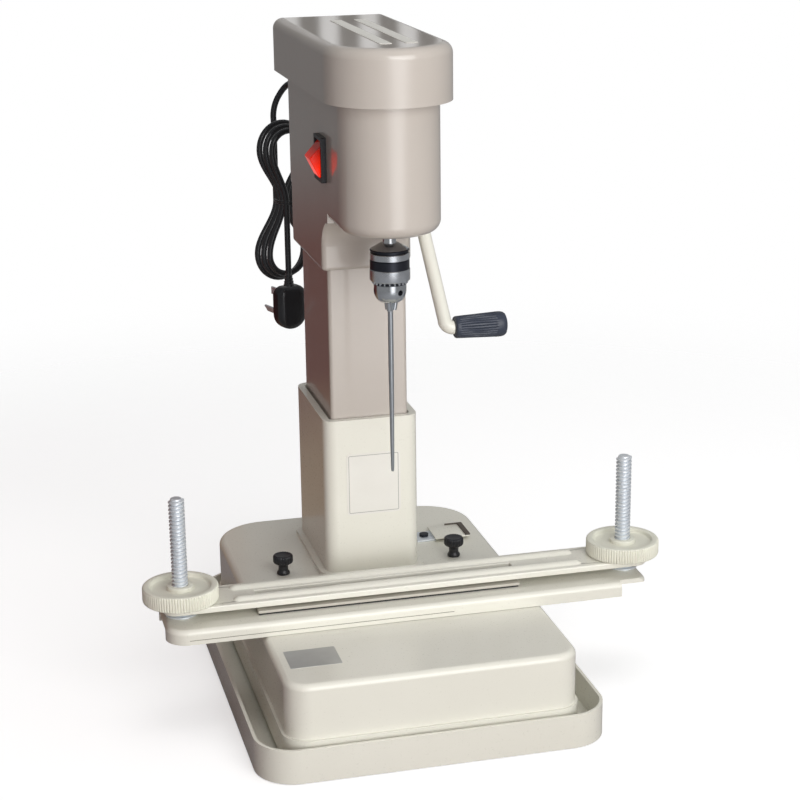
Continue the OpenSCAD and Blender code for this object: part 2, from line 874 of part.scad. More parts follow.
// Thin pads on the sleeve's inner walls, in two rows, for the column to run on
module guide_pads() {
    pad = guide_gap - hole_gap;
    color(nylon) for (level = pad_ends, side = [-1, 1]) {
        translate([side * (sleeve_inner_width - pad) / 2, column_mid, level + pad_length / 2])
            cube([pad, column_depth * pad_share, pad_length], center = true);
        translate([0, column_mid + side * (sleeve_inner_depth - pad) / 2, level + pad_length / 2])
            cube([column_width * pad_share, pad, pad_length], center = true);
    }
}

// Toothed post that stands on the plinth inside the column
module rack_post() {
    post_y = rack_root_y + rack_back / 2;
    color(steel) difference() {
        union() {
            translate([-rack_width / 2, rack_root_y, floor_top])
                cube([rack_width, rack_back, rack_top - floor_top]);
            translate([-rack_foot[0] / 2, post_y - rack_foot[1] / 2, floor_top]) cube(rack_foot);
            for (k = [-rack_teeth_above : rack_teeth_below])
                translate([-rack_width / 2, rack_pitch_y, crank_z - (k - 0.5) * tooth_pitch])
                    rotate([90, 0, 90])
                        linear_extrude(rack_width)
                            polygon([
                                [-rack_addendum, -rack_half + rack_addendum * rack_slope],
                                [tooth_depth + over, -rack_half - (tooth_depth + over) * rack_slope],
                                [tooth_depth + over, rack_half + (tooth_depth + over) * rack_slope],
                                [-rack_addendum, rack_half - rack_addendum * rack_slope]
                            ]);
        }
        for (side = [-1, 1])
            translate([0, post_y + side * rack_bolt_y, floor_top - over])
                cylinder(r = screw_hole, h = rack_foot[2] + 2 * over);
    }
}

module rack_bolts() {
    color(dark) for (side = [-1, 1])
        translate([0, rack_root_y + rack_back / 2 + side * rack_bolt_y, floor_top + rack_foot[2]])
            screw(rack_foot[2] + plinth_floor);
}

// Flat rail on the base that the clamp's lower bar slides along
module clamp_rail() {
    rail_front = lower_front + lower_flange + slide_gap;
    rail_rear = lower_rear - lower_flange - slide_gap;
    rail_height = lower_top - lower_sheet - slide_gap - base_top;
    color(steel) difference() {
        translate([-rail_half, rail_front, base_top])
            cube([2 * rail_half, rail_rear - rail_front, rail_height]);
        for (side = [-1, 1]) translate([side * rail_screw_x, spindle_y, 0]) {
            translate([0, 0, base_top - over]) cylinder(r = screw_hole, h = rail_height + 2 * over);
            translate([0, 0, base_top + rail_height - rail_counterbore])
                cylinder(r = screw_head + hole_gap, h = rail_counterbore + over);
        }
    }
}

module rail_screws() {
    seat = lower_top - lower_sheet - slide_gap - rail_counterbore;
    color(dark) for (side = [-1, 1])
        translate([side * rail_screw_x, spindle_y, seat]) screw(seat - base_top + base_wall);
}

// Plated strip with a raised tongue beside the right knob
module side_bracket() {
    tongue_x = bracket_at[0] + bracket_foot[0] / 2 - bracket_sheet;
    color(zinc) difference() {
        translate([0, 0, base_top]) {
            translate([bracket_at[0] - bracket_foot[0] / 2, bracket_at[1] - bracket_foot[1] / 2, 0])
                cube([bracket_foot[0], bracket_foot[1], bracket_sheet]);
            translate([tongue_x, bracket_at[1] - bracket_foot[1] / 2, 0])
                cube([bracket_sheet, bracket_foot[1], bracket_rise + bracket_sheet]);
            translate([tongue_x, bracket_at[1] - bracket_tongue[1] / 2, bracket_rise])
                cube([bracket_tongue[0], bracket_tongue[1], bracket_sheet]);
        }
        translate([bracket_at[0], bracket_at[1], base_top - over])
            cylinder(r = screw_hole, h = bracket_sheet + 2 * over);
    }
}

// Dark strip on the outer end of the tongue
module bracket_pad() {
    tongue_end = bracket_at[0] + bracket_foot[0] / 2 - bracket_sheet + bracket_tongue[0];
    pad_bottom = base_top + bracket_rise + bracket_sheet;
    color(dark)
        translate([tongue_end - bracket_pad_width, bracket_at[1] - bracket_tongue[1] / 2, pad_bottom])
            cube([bracket_pad_width, bracket_tongue[1], bracket_pad_height]);
}

module bracket_screw() {
    color(dark) translate([bracket_at[0], bracket_at[1], base_top + bracket_sheet])
        screw(bracket_sheet + base_wall);
}

// Sliding column and head

module inner_column() {
    color(taupe) difference() {
        translate([0, 0, column_bottom]) linear_extrude(column_top - column_bottom) column_plan(0);
        translate([0, 0, column_bottom - over])
            linear_extrude(column_top - column_bottom + 2 * over) column_plan(-column_wall);
        at_column_walls()
            translate([0, 0, column_top - boss_bite - over])
                cylinder(r = screw_radius / 2 + hole_gap, h = boss_bite + 2 * over);
    }
}

// Steel plate that ties the column's top to the carriage floor
module column_plate() {
    color(steel) difference() {
        translate([0, 0, column_top])
            linear_extrude(plate_thickness) intersection() {
                column_plan(plate_lip);
                carriage_plan(-head_wall - face_gap);
            }
        translate([0, 0, column_top - over])
            linear_extrude(plate_thickness + 2 * over) column_plan(-3 * column_wall);
        at_column_walls()
            translate([0, 0, column_top - over])
                cylinder(r = screw_radius / 2 + hole_gap, h = plate_thickness + 2 * over);
    }
}

module column_screws() {
    color(dark) at_column_walls()
        translate([0, 0, column_top + plate_thickness])
            screw(plate_thickness + boss_bite, screw_radius / 2, screw_head / 2, screw_head_height);
}

// Cylinder along X between two places at the crank shaft's height
module on_crank_axis(radius, start, end) {
    translate([start, crank_y, crank_z]) rotate([0, 90, 0]) cylinder(r = radius, h = end - start);
}

// Section of the hollow fillet under the barrel
module throat_section(face, top) {
    foot = barrel_bottom - throat_radius;
    difference() {
        translate([face - throat_lap, foot + throat_lip])
            square([throat_radius - throat_lip + throat_lap, top - foot - throat_lip]);
        translate([face + throat_radius, foot]) circle(throat_radius);
    }
}

// Fillet along the carriage's face and round its front corners
module throat() {
    top = barrel_bottom + barrel_edge;
    left = -head_half + carriage_corner;
    right = head_half - carriage_right_corner;
    intersection() {
        union() {
            translate([left, carriage_front, 0]) rotate([90, 0, 90])
                linear_extrude(right - left) mirror([1, 0]) throat_section(0, top);
            translate([left, carriage_front + carriage_corner, 0])
                rotate(180) rotate_extrude(angle = 90) throat_section(carriage_corner, top);
            translate([right, carriage_front + carriage_right_corner, 0])
                rotate(-90) rotate_extrude(angle = 90) throat_section(carriage_right_corner, top);
        }
        translate([-head_half, carriage_front - throat_radius, carriage_bottom])
            cube([2 * head_half, throat_radius + carriage_right_corner, head_top - carriage_bottom]);
    }
}

module head_housing() {
    barrel_height = head_top - barrel_bottom;
    carriage_height = barrel_bottom + barrel_edge + over - carriage_bottom;
    switch_hole = [bezel_width - 2 * switch_body_margin, bezel_height - 2 * switch_body_margin];
    color(taupe) difference() {
        union() {
            difference() {
                union() {
                    arch_block(head_half, head_rear, barrel_bottom, barrel_height, barrel_edge, false);
                    soft_block([-head_half, carriage_front], [head_half, head_rear],
                        [carriage_corner, carriage_right_corner, carriage_corner, carriage_corner],
                        carriage_bottom, carriage_height, carriage_edge, false);
                    throat();
                }
                translate([0, 0, barrel_bottom + head_floor])
                    linear_extrude(head_top) arch_plan(head_inner_half, head_rear - head_wall);
                translate([0, 0, carriage_bottom + head_floor])
                    linear_extrude(carriage_height) carriage_plan(-head_wall);
            }
            on_crank_axis(crank_boss, head_inner_half - bush_length + boss_stand, crank_face);
            on_crank_axis(crank_boss, -head_half + over, -head_inner_half + bush_length);
        }
        translate([0, 0, carriage_bottom - over])
            linear_extrude(head_floor + 2 * over) column_plan(hole_gap);
        translate([0, spindle_y, barrel_bottom - over])
            cylinder(r = shaft_radius + over, h = head_floor + 2 * over);
        on_crank_axis(bush_radius + running, head_inner_half - bush_length, crank_face + over);
        on_crank_axis(bush_radius + running, -head_inner_half, 0);
        translate([-head_half - over, switch_y - switch_hole[0] / 2, switch_z - switch_hole[1] / 2])
            cube([head_wall + 2 * over, switch_hole[0], switch_hole[1]]);
        translate([gland_x, head_rear + over, gland_z])
            rotate([90, 0, 0]) cylinder(r = gland_hole + hole_gap, h = head_wall + 2 * over);
    }
}

// Plan of the cap's spigot in the housing, shrunk by an amount
module spigot_plan(shrink) {
    gap = bracket_gap + shrink;
    arch_plan(head_inner_half - gap, head_rear - head_wall - gap);
}

module top_cap() {
    color(taupe) {
        difference() {
            arch_block(cap_half, cap_rear, head_top, cap_height, cap_edge, true);
            arch_block(cap_half - cap_wall, cap_rear - cap_wall, head_top + cap_wall,
                cap_height - 2 * cap_wall, max(cap_edge - cap_wall, over), true);
            translate([0, 0, head_top - over])
                linear_extrude(cap_wall + 2 * over)
                    spigot_plan(cap_spigot);
        }
        difference() {
            translate([0, 0, head_top - cap_spigot_depth])
                linear_extrude(cap_spigot_depth + over)
                    spigot_plan(0);
            translate([0, 0, head_top - cap_spigot_depth - over])
                linear_extrude(cap_spigot_depth + 3 * over)
                    spigot_plan(cap_spigot);
        }
    }
}

// Motor

// Copies of the children on the ring of motor screws
module at_motor_screws() {
    for (k = [0 : motor_screw_count - 1])
        translate([0, spindle_y])
            rotate(360 * k / motor_screw_count)
                translate([motor_screw_ring, 0]) children();
}

module motor_stator() {
    color(laminations) difference() {
        translate([0, spindle_y, lower_bracket_top]) cylinder(r = stator_radius, h = stator_length);
        translate([0, spindle_y, lower_bracket_top - over])
            cylinder(r = stator_bore, h = stator_length + 2 * over);
        at_motor_screws()
            translate([0, 0, lower_bracket_top - over])
                cylinder(r = screw_hole, h = stator_length + 2 * over);
    }
}

module motor_lower_bracket() {
    color(cast_alloy) difference() {
        translate([0, spindle_y, lower_bracket_bottom])
            cylinder(r = head_inner_half - bracket_gap, h = lower_bracket_top - lower_bracket_bottom);
        translate([0, spindle_y, lower_bracket_bottom - over])
            cylinder(r = shaft_radius + over, h = lower_bracket_top);
        translate([0, spindle_y, lower_bracket_bottom + bracket_floor])
            cylinder(r = bearing_radius + running, h = bearing_width + over);
        at_motor_screws()
            translate([0, 0, lower_bracket_bottom - over])
                cylinder(r = screw_hole, h = lower_bracket_top);
    }
}

module motor_upper_bracket() {
    color(cast_alloy) difference() {
        translate([0, spindle_y, stator_top])
            cylinder(r = stator_radius, h = upper_bracket_top - stator_top);
        translate([0, spindle_y, stator_top - over])
            cylinder(r = bearing_radius + running, h = bearing_width + over);
        translate([0, spindle_y, stator_top - over])
            cylinder(r = shaft_radius + over, h = upper_bracket_top);
        at_motor_screws()
            translate([0, 0, stator_top - over]) cylinder(r = screw_hole, h = upper_bracket_top);
    }
}

// Ball bearing with its lower face at a height
module bearing(level) {
    color(steel) difference() {
        translate([0, spindle_y, level]) cylinder(r = bearing_radius, h = bearing_width);
        translate([0, spindle_y, level - over])
            cylinder(r = shaft_radius + running, h = bearing_width + 2 * over);
    }
}

module lower_bearing() { bearing(lower_bracket_bottom + bracket_floor); }
module upper_bearing() { bearing(stator_top); }

module motor_screws() {
    color(dark) at_motor_screws()
        translate([0, 0, upper_bracket_top]) screw(upper_bracket_top - lower_bracket_bottom);
}

// Switch

module switch_bezel() {
    inner = [bezel_width - 2 * rocker_margin, bezel_height - 2 * rocker_margin];
    body_inset = 2 * switch_body_margin + hole_gap;
    body = [bezel_width - body_inset, bezel_height - body_inset];
    color(dark) difference() {
        union() {
            translate([-head_half - bezel_thickness / 2, switch_y, switch_z])
                cube([bezel_thickness, bezel_width, bezel_height], center = true);
            translate([-head_half + switch_depth / 2 - over / 2, switch_y, switch_z])
                cube([switch_depth + over, body[0], body[1]], center = true);
        }
        translate([-head_half - bezel_thickness - over, switch_y - inner[0] / 2, switch_z - inner[1] / 2])
            cube([switch_depth / 2 + bezel_thickness, inner[0], inner[1]]);
    }
}

// Rocker with a ridge, tipped about an axis along Y
module switch_rocker() {
    half = bezel_height / 2 - rocker_margin - rocker_gap;
    width = bezel_width - 2 * rocker_margin - 2 * slide_gap;
    color(red)
        translate([-head_half - bezel_thickness + rocker_pivot, switch_y, switch_z])
            rotate([0, rocker_tilt, 0])
                rotate([90, 0, 180])
                    linear_extrude(width, center = true)
                        polygon([
                            [-rocker_skirt, -half + rocker_gap],
                            [0, -half],
                            [rocker_ridge, 0],
                            [0, half],
                            [-rocker_skirt, half - rocker_gap]
                        ]);
}

// Feed crank

module crank_bushes() {
    color(bronze) difference() {
        union() {
            on_crank_axis(bush_radius, head_inner_half - bush_length + boss_stand, crank_face);
            on_crank_axis(bush_radius, -head_inner_half, -head_inner_half + bush_length);
        }
        on_crank_axis(crank_shaft_radius + running, -head_half, crank_face + over);
    }
}

module crank_shaft() {
    color(steel) difference() {
        on_crank_axis(crank_shaft_radius, -head_inner_half + face_gap, crank_hub_out);
        on_crank_axis(screw_hole, crank_hub_in, crank_hub_out + over);
    }
}

module pinion() {
    color(steel)
        translate([-pinion_width / 2, crank_y, crank_z])
            rotate([90, 0, 90])
                linear_extrude(pinion_width)
                    difference() {
                        union() {
                            circle(r = root_circle);
                            for (k = [0 : pinion_teeth - 1])
                                rotate(360 * k / pinion_teeth) polygon(tooth_outline);
                        }
                        circle(r = crank_shaft_radius + running);
                    }
}

module crank_washer() {
    color(zinc) difference() {
        on_crank_axis(crank_hub_radius - over, crank_face + face_gap, crank_hub_in);
        on_crank_axis(crank_shaft_radius + hole_gap, crank_face, crank_hub_in + over);
    }
}

module crank_arm() {
    reach = norm(crank_reach);
    color(cream) difference() {
        union() {
            on_crank_axis(crank_hub_radius, crank_hub_in, crank_hub_out);
            translate([crank_arm_x, crank_y, crank_z])
                rotate([0, acos(crank_reach[2] / reach), atan2(crank_reach[1], crank_reach[0])])
                    cylinder(r = arm_radius, h = reach - bend_setback + bend_lap);
            translate(crank_bend)
                rotate([atan2(-crank_reach[2], -crank_reach[1]), 0, 0])
                    translate([bend_setback, bend_radius, 0])
                        rotate(-90 - bend_angle)
                            rotate_extrude(angle = bend_angle)
                                translate([bend_radius, 0]) circle(r = arm_radius + bend_swell);
            translate(crank_bend + [bend_setback - bend_lap, 0, 0]) rotate([0, 90, 0]) {
                cylinder(r = arm_radius, h = bend_lap + grip_gap - slide_gap);
                cylinder(r = grip_pin, h = bend_lap + grip_gap + grip_length - grip_wall);
            }
        }
        on_crank_axis(crank_shaft_radius + running, crank_hub_in - over, crank_hub_out + over);
    }
}

module crank_screw() {
    color(zinc)
        translate([crank_hub_out, crank_y, crank_z])
            rotate([0, 90, 0]) screw(crank_screw_bite, head = crank_screw_head);
}

// Grip that swells toward its outer end and turns on the arm's pin
module crank_grip() {
    color(slate)
        translate([grip_start, crank_bend[1], crank_bend[2]])
            rotate([0, 90, 0])
                rotate_extrude()
                    polygon([
                        [grip_pin + running, 0],
                        [grip_neck - grip_chamfer, 0],
                        [grip_neck, grip_chamfer],
                        [grip_radius, grip_length - grip_shoulder],
                        [grip_radius - grip_round[0][0], grip_length - grip_round[0][1]],
                        [grip_radius - grip_round[1][0], grip_length - grip_round[1][1]],
                        [0, grip_length],
                        [0, grip_length - grip_wall + over],
                        [grip_pin + running, grip_length - grip_wall + over]
                    ]);
}

// Spindle, chuck and needle

module spindle_shaft() {
    color(steel) translate([0, spindle_y, chuck_top - shaft_bite])
        cylinder(r = shaft_radius, h = shaft_top - chuck_top + shaft_bite);
}

module rotor() {
    color(winding) difference() {
        translate([0, spindle_y, lower_bracket_top + rotor_margin])
            cylinder(r = rotor_radius, h = stator_length - 2 * rotor_margin);
        translate([0, spindle_y, lower_bracket_top])
            cylinder(r = shaft_radius + running, h = stator_length);
    }
}

module cooling_fan() {
    hub = shaft_radius + fan_hub_wall;
    fan_bottom = upper_bracket_top + screw_head_height + fan_gap;
    color(nylon) translate([0, spindle_y, fan_bottom]) difference() {
        union() {
            cylinder(r = hub, h = fan_height - screw_head_height);
            for (k = [0 : fan_blades - 1])
                rotate(360 * k / fan_blades)
                    translate([hub - over, -fan_blade / 2, 0])
                        cube([fan_radius - hub, fan_blade, fan_height - screw_head_height]);
        }
        translate([0, 0, -over]) cylinder(r = shaft_radius + running, h = fan_height + 2 * over);
    }
}

// Jaw or jaw bore, a cylinder that leans outward as it rises
module jaw_rod(turn, radius, start, length) {
    translate([0, spindle_y, jaw_bottom])
        rotate([0, 0, turn])
            translate([jaw_tip_radius, 0, 0])
                rotate([0, jaw_lean, 0])
                    translate([0, 0, start]) cylinder(r = radius, h = length);
}

module chuck_body() {
    collar_bottom = chuck_top - chuck_collar;
    color(steel) difference() {
        translate([0, spindle_y, 0])
            rotate_extrude()
                polygon([
                    [0, chuck_bottom],
                    for (point = chuck_nose)
                        [min(point[0], chuck_core), chuck_bottom + point[1]],
                    [chuck_core, collar_bottom],
                    [chuck_radius - chuck_step, collar_bottom],
                    [chuck_radius - chuck_step, chuck_top - chuck_groove[1]],
                    [chuck_radius - chuck_groove_depth, chuck_top - chuck_groove[1]],
                    [chuck_radius - chuck_groove_depth, chuck_top - chuck_groove[0]],
                    [chuck_radius - chuck_step, chuck_top - chuck_groove[0]],
                    [chuck_radius - chuck_step, chuck_top - chuck_shoulder],
                    [shaft_radius + chuck_crown, chuck_top],
                    [0, chuck_top]
                ]);
        translate([0, spindle_y, chuck_top - shaft_bite])
            cylinder(r = shaft_radius + running, h = shaft_bite + over);
        translate([0, spindle_y, chuck_bottom - over])
            cylinder(r = needle_radius + slide_gap, h = needle_shank - jaw_show + 2 * over);
        for (turn = [0, 120, 240]) jaw_rod(turn, jaw_radius + running, 0, jaw_length + jaw_travel + over);
    }
}

// Hollow needle, ground slimmer at its tip
module needle() {
    color(zinc) translate([0, spindle_y, 0]) difference() {
        union() {
            translate([0, 0, needle_tip + needle_point])
                cylinder(r = needle_radius, h = jaw_bottom + needle_shank - needle_tip - needle_point);
            translate([0, 0, needle_tip])
                cylinder(r1 = needle_radius - needle_grind, r2 = needle_radius, h = needle_point);
        }
        translate([0, 0, needle_tip - over])
            cylinder(r = needle_radius - needle_wall, h = needle_length + over);
    }
}

module chuck_sleeve() {
    bottom = chuck_top - chuck_sleeve_bottom;
    top = chuck_top - chuck_collar - face_gap;
    color(steel) translate([0, spindle_y, 0])
        rotate_extrude()
            polygon([
                [chuck_core + running, bottom],
                [chuck_radius - chuck_chamfer, bottom],
                [chuck_radius, bottom + chuck_chamfer],
                [chuck_radius, top - chuck_band],
                [chuck_radius - chuck_step, top - chuck_band],
                [chuck_radius - chuck_step, top],
                [chuck_core + running, top]
            ]);
}

module jaw(turn) {
    color(steel) difference() {
        jaw_rod(turn, jaw_radius, 0, jaw_length);
        translate([0, spindle_y, jaw_bottom - over])
            cylinder(r = needle_radius + running, h = jaw_length + 2 * over);
    }
}

module jaw_1() { jaw(0); }
module jaw_2() { jaw(120); }
module jaw_3() { jaw(240); }

// Clamp

// Plan of the lower bar, shrunk by an amount, a little shorter at its right end
module lower_plan(shrink) {
    length = 2 * bar_half - lower_short;
    translate([clamp_offset - lower_short / 2, (lower_front + lower_rear) / 2])
        rounded_rect(length - 2 * shrink, lower_rear - lower_front - 2 * shrink, lower_corner - shrink);
}

// Sheet with flanged front and rear edges, notched at the right front corner
module lower_bar() {
    span = lower_rear - lower_front;
    color(cream) difference() {
        soft_block([clamp_offset - bar_half, lower_front],
            [clamp_offset + bar_half - lower_short, lower_rear],
            [lower_corner, lower_corner, lower_corner, lower_corner],
            lower_bottom, lower_height, lower_edge, true);
        translate([0, 0, lower_bottom - over])
            linear_extrude(lower_height - lower_sheet + over) {
                lower_plan(lower_flange);
                translate([clamp_offset - bar_half - over, lower_front + lower_corner])
                    square([2 * bar_half, span - 2 * lower_corner]);
                translate([clamp_offset + flange_right, lower_front - over])
                    square([bar_half, span + 2 * over]);
            }
        translate([clamp_offset + flange_right, lower_front - over, lower_bottom - over])
            cube([bar_half, notch_depth + over, lower_height + 2 * over]);
        for (x = clamp_x)
            translate([x, spindle_y, lower_bottom])
                cylinder(r = stud_radius + running, h = lower_height + over);
    }
}

module studs() {
    color(zinc) for (x = clamp_x) translate([x, spindle_y, 0]) {
        translate([0, 0, base_top + stud_head_gap])
            cylinder(r = stud_head, h = lower_top - lower_sheet - base_top - stud_head_gap);
        translate([0, 0, lower_top - lower_sheet - over])
            cylinder(r = stud_radius, h = stud_top - stud_dome - lower_top + lower_sheet + over);
        translate([0, 0, stud_top - stud_dome])
            cylinder(r1 = stud_radius, r2 = stud_radius - stud_bevel, h = stud_dome);
    }
}

module stud_washers() {
    color(zinc) for (x = clamp_x) translate([x, spindle_y, lower_top]) difference() {
        cylinder(r = washer_radius, h = washer_thickness);
        translate([0, 0, -over]) cylinder(r = stud_radius + hole_gap, h = washer_thickness + 2 * over);
    }
}

module jam_nuts() {
    color(zinc) for (x = clamp_x) translate([x, spindle_y, lower_top + washer_thickness]) difference() {
        cylinder(r = jam_flats / sqrt(3), h = jam_height - face_gap, $fn = 6);
        translate([0, 0, -over]) cylinder(r = stud_radius + running, h = jam_height + 2 * over);
    }
}

// Two strips under the paper, with a channel between them for the needle
module backing_strips() {
    start = clamp_offset - slot_left - strip_past_slot;
    length = slot_left + slot_right + 2 * strip_past_slot;
    strip_depth = (press_depth - channel_width) / 2;
    color(nylon) for (y = [spindle_y - press_depth / 2, spindle_y + channel_width / 2])
        translate([start, y, lower_top]) cube([length, strip_depth, strip_thickness]);
}

// Rounded bead along X with ball ends, a little above the press bar
module bead(y) {
    centre = press_top + bead_height - bead_radius;
    intersection() {
        translate([clamp_offset, y, centre]) {
            rotate([0, 90, 0]) cylinder(r = bead_radius, h = 2 * bead_reach, center = true);
            for (side = [-1, 1]) translate([side * bead_reach, 0, 0]) sphere(r = bead_radius);
        }
        translate([clamp_offset - bar_half, y - bead_radius, press_top - over])
            cube([2 * bar_half, 2 * bead_radius, bead_height + 2 * over]);
    }
}

module press_bar() {
    color(cream) difference() {
        union() {
            soft_block([clamp_offset - bar_half, spindle_y - press_depth / 2],
                [clamp_offset + bar_half, spindle_y + press_depth / 2],
                [bar_corner, bar_corner, bar_corner, bar_corner],
                press_bottom, press_thickness, press_edge, true);
            for (side = [-1, 1]) bead(spindle_y + side * bead_offset);
        }
        translate([clamp_offset - slot_left, spindle_y - slot_width / 2, press_bottom - over])
            cube([slot_left + slot_right, slot_width, press_thickness + bead_height + 2 * over]);
        for (x = clamp_x)
            translate([x, spindle_y, press_bottom - over])
                cylinder(r = stud_radius + stud_hole_gap, h = press_thickness + 2 * over);
    }
}

// Round hand nut with a thick rim, a sunk face and a hub
module hand_nut(x) {
    color(nut_paint) translate([x, spindle_y, nut_bottom])
        rotate_extrude()
            polygon([
                [stud_radius + running, 0],
                [nut_radius - nut_chamfer, 0],
                [nut_radius, nut_chamfer],
                [nut_radius, nut_height - nut_chamfer],
                [nut_radius - nut_chamfer, nut_height],
                [nut_radius - nut_rim, nut_height],
                [nut_radius - nut_rim - nut_chamfer, nut_height - nut_recess],
                [nut_hub, nut_height - nut_recess],
                [nut_hub, nut_height],
                [stud_radius + running, nut_height]
            ]);
}

module left_hand_nut() { hand_nut(clamp_x[0]); }
module right_hand_nut() { hand_nut(clamp_x[1]); }

// Thumb knobs

module thumb_knob(x) {
    color(dark) translate([x, knob_y, base_top]) {
        translate([0, 0, -knob_bite]) cylinder(r = knob_shank, h = knob_bite + over);
        rotate_extrude()
            polygon([
                [0, face_gap],
                [knob_foot, face_gap],
                [knob_foot, knob_foot_height],
                [knob_neck, knob_foot_height + over],
                [knob_neck, knob_neck_height - over],
                [knob_radius, knob_neck_height + knob_edge / 2],
                [knob_radius, knob_height - knob_edge],
                [knob_radius - knob_edge, knob_height],
                [0, knob_height]
            ]);
    }
}

module left_knob() { thumb_knob(-knob_x); }
module right_knob() { thumb_knob(knob_x); }

// Mains cord

module cord_gland() {
    color(dark) translate([gland_x, head_rear, gland_z])
        rotate([-90, 0, 0]) {
            translate([0, 0, -head_wall - over]) cylinder(r = gland_hole, h = head_wall + 2 * over);
            cylinder(r = gland_flange, h = gland_flange_height);
            cylinder(r1 = gland_hole + over, r2 = gland_mouth, h = gland_length);
        }
}

module cord_lead() { color(dark) tube(lead_route, cord_radius, cord_sides); }

module cord_hank() { color(dark) tube(hank_path, cord_radius, loop_sides); }

// Strap round the hank's waist
module cord_tie() {
    across = 2 * (hank_pinch + cord_radius + tie_gap);
    along = hank_loops * hank_layer + cord_diameter + 2 * tie_gap;
    color(dark) translate([hank_middle[0], hank_middle[1], hank_waist - tie_height / 2])
        rotate(hank_turn)
            linear_extrude(tie_height) difference() {
                rounded_rect(across + 2 * tie_wall, along + 2 * tie_wall, cord_radius + tie_wall);
                rounded_rect(across, along, cord_radius);
            }
}

// Flat plug that hangs by its cord, its blades toward the rear
module plug_body() {
    color(dark) translate([plug_at[0], plug_at[1], 0]) rotate(plug_turn) {
        translate([0, plug_thickness / 2, plug_top - plug_height / 2])
            rotate([90, 0, 0])
                linear_extrude(plug_thickness) rounded_rect(plug_width, plug_height, plug_corner);
        translate([0, 0, plug_top - over])
            cylinder(r1 = cord_radius + relief_wall[0], r2 = cord_radius + relief_wall[1],
                h = plug_relief + over);
    }
}

module plug_blades() {
    color(zinc) translate([plug_at[0], plug_at[1], plug_top - plug_height / 2]) rotate(plug_turn) {
        for (side = [-1, 1])
            translate([side * blade_spread, plug_thickness / 2, -blade_drop])
                rotate([0, side * blade_tilt, 0])
                    translate([-blade[1] / 2, 0, -blade[0] / 2]) cube([blade[1], blade_length, blade[0]]);
        translate([-blade[1] / 2, plug_thickness / 2, earth_rise - blade[0] / 2])
            cube([blade[1], blade_length + earth_extra, blade[0]]);
    }
}

chip_tray();
rubber_feet();
base_plinth();
base_cover();
cover_screws();
column_sleeve();
sleeve_screws();
guide_pads();
rack_post();
rack_bolts();
clamp_rail();
rail_screws();
side_bracket();
bracket_pad();
bracket_screw();
inner_column();
column_plate();
column_screws();
head_housing();
top_cap();
motor_stator();
motor_lower_bracket();
motor_upper_bracket();
lower_bearing();
upper_bearing();
motor_screws();
switch_bezel();
switch_rocker();
crank_bushes();
cord_gland();
cord_lead();
cord_hank();
cord_tie();
plug_body();
plug_blades();
crank_shaft();
pinion();
crank_washer();
crank_arm();
crank_screw();
crank_grip();
spindle_shaft();
rotor();
cooling_fan();
chuck_body();
needle();
chuck_sleeve();
jaw_1();
jaw_2();
jaw_3();
lower_bar();
studs();
stud_washers();
jam_nuts();
backing_strips();
press_bar();
left_hand_nut();
right_hand_nut();
left_knob();
right_knob();
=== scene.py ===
import math

import bpy
from mathutils import Matrix, Vector


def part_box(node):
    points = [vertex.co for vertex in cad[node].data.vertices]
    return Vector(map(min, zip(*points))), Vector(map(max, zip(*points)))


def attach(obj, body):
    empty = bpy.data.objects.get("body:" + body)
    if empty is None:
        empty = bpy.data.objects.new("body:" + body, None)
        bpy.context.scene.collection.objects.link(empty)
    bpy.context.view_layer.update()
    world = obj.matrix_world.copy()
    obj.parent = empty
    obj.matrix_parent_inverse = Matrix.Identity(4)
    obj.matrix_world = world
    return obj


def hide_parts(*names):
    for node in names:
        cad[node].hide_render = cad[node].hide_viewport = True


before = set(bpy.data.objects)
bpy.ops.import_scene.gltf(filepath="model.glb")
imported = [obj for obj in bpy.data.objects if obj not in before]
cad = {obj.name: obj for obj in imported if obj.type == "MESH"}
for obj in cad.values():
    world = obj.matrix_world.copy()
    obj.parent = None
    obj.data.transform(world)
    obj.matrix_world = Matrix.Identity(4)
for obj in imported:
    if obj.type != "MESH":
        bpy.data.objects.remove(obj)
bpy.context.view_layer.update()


# Camera. A long lens sees the machine from the front, a little from its left and from above.
# It stands where the photograph's perspective puts it, and is tipped by the photograph's small roll.
EYE = Vector((-0.3269, -1.3839, 0.6588))
AZIMUTH = math.radians(-13.956)
ELEVATION = math.radians(17.068)
ROLL = math.radians(-0.764)
LENS_MM = 87.06
SENSOR_MM = 36

back = Vector((
    math.sin(AZIMUTH) * math.cos(ELEVATION),
    -math.cos(AZIMUTH) * math.cos(ELEVATION),
    math.sin(ELEVATION)))
level = Vector((0, 0, 1)).cross(back).normalized()
upright = back.cross(level)
right = math.cos(ROLL) * level + math.sin(ROLL) * upright
above = math.cos(ROLL) * upright - math.sin(ROLL) * level
camera_data = bpy.data.cameras.new("camera")
camera_data.lens = LENS_MM
camera_data.sensor_width = SENSOR_MM
camera = bpy.data.objects.new("camera", camera_data)
camera.matrix_world = Matrix.Translation(EYE) @ Matrix((right, above, back)).transposed().to_4x4()
bpy.context.scene.collection.objects.link(camera)
bpy.context.scene.camera = camera
bpy.context.scene.view_settings.view_transform = "Standard"


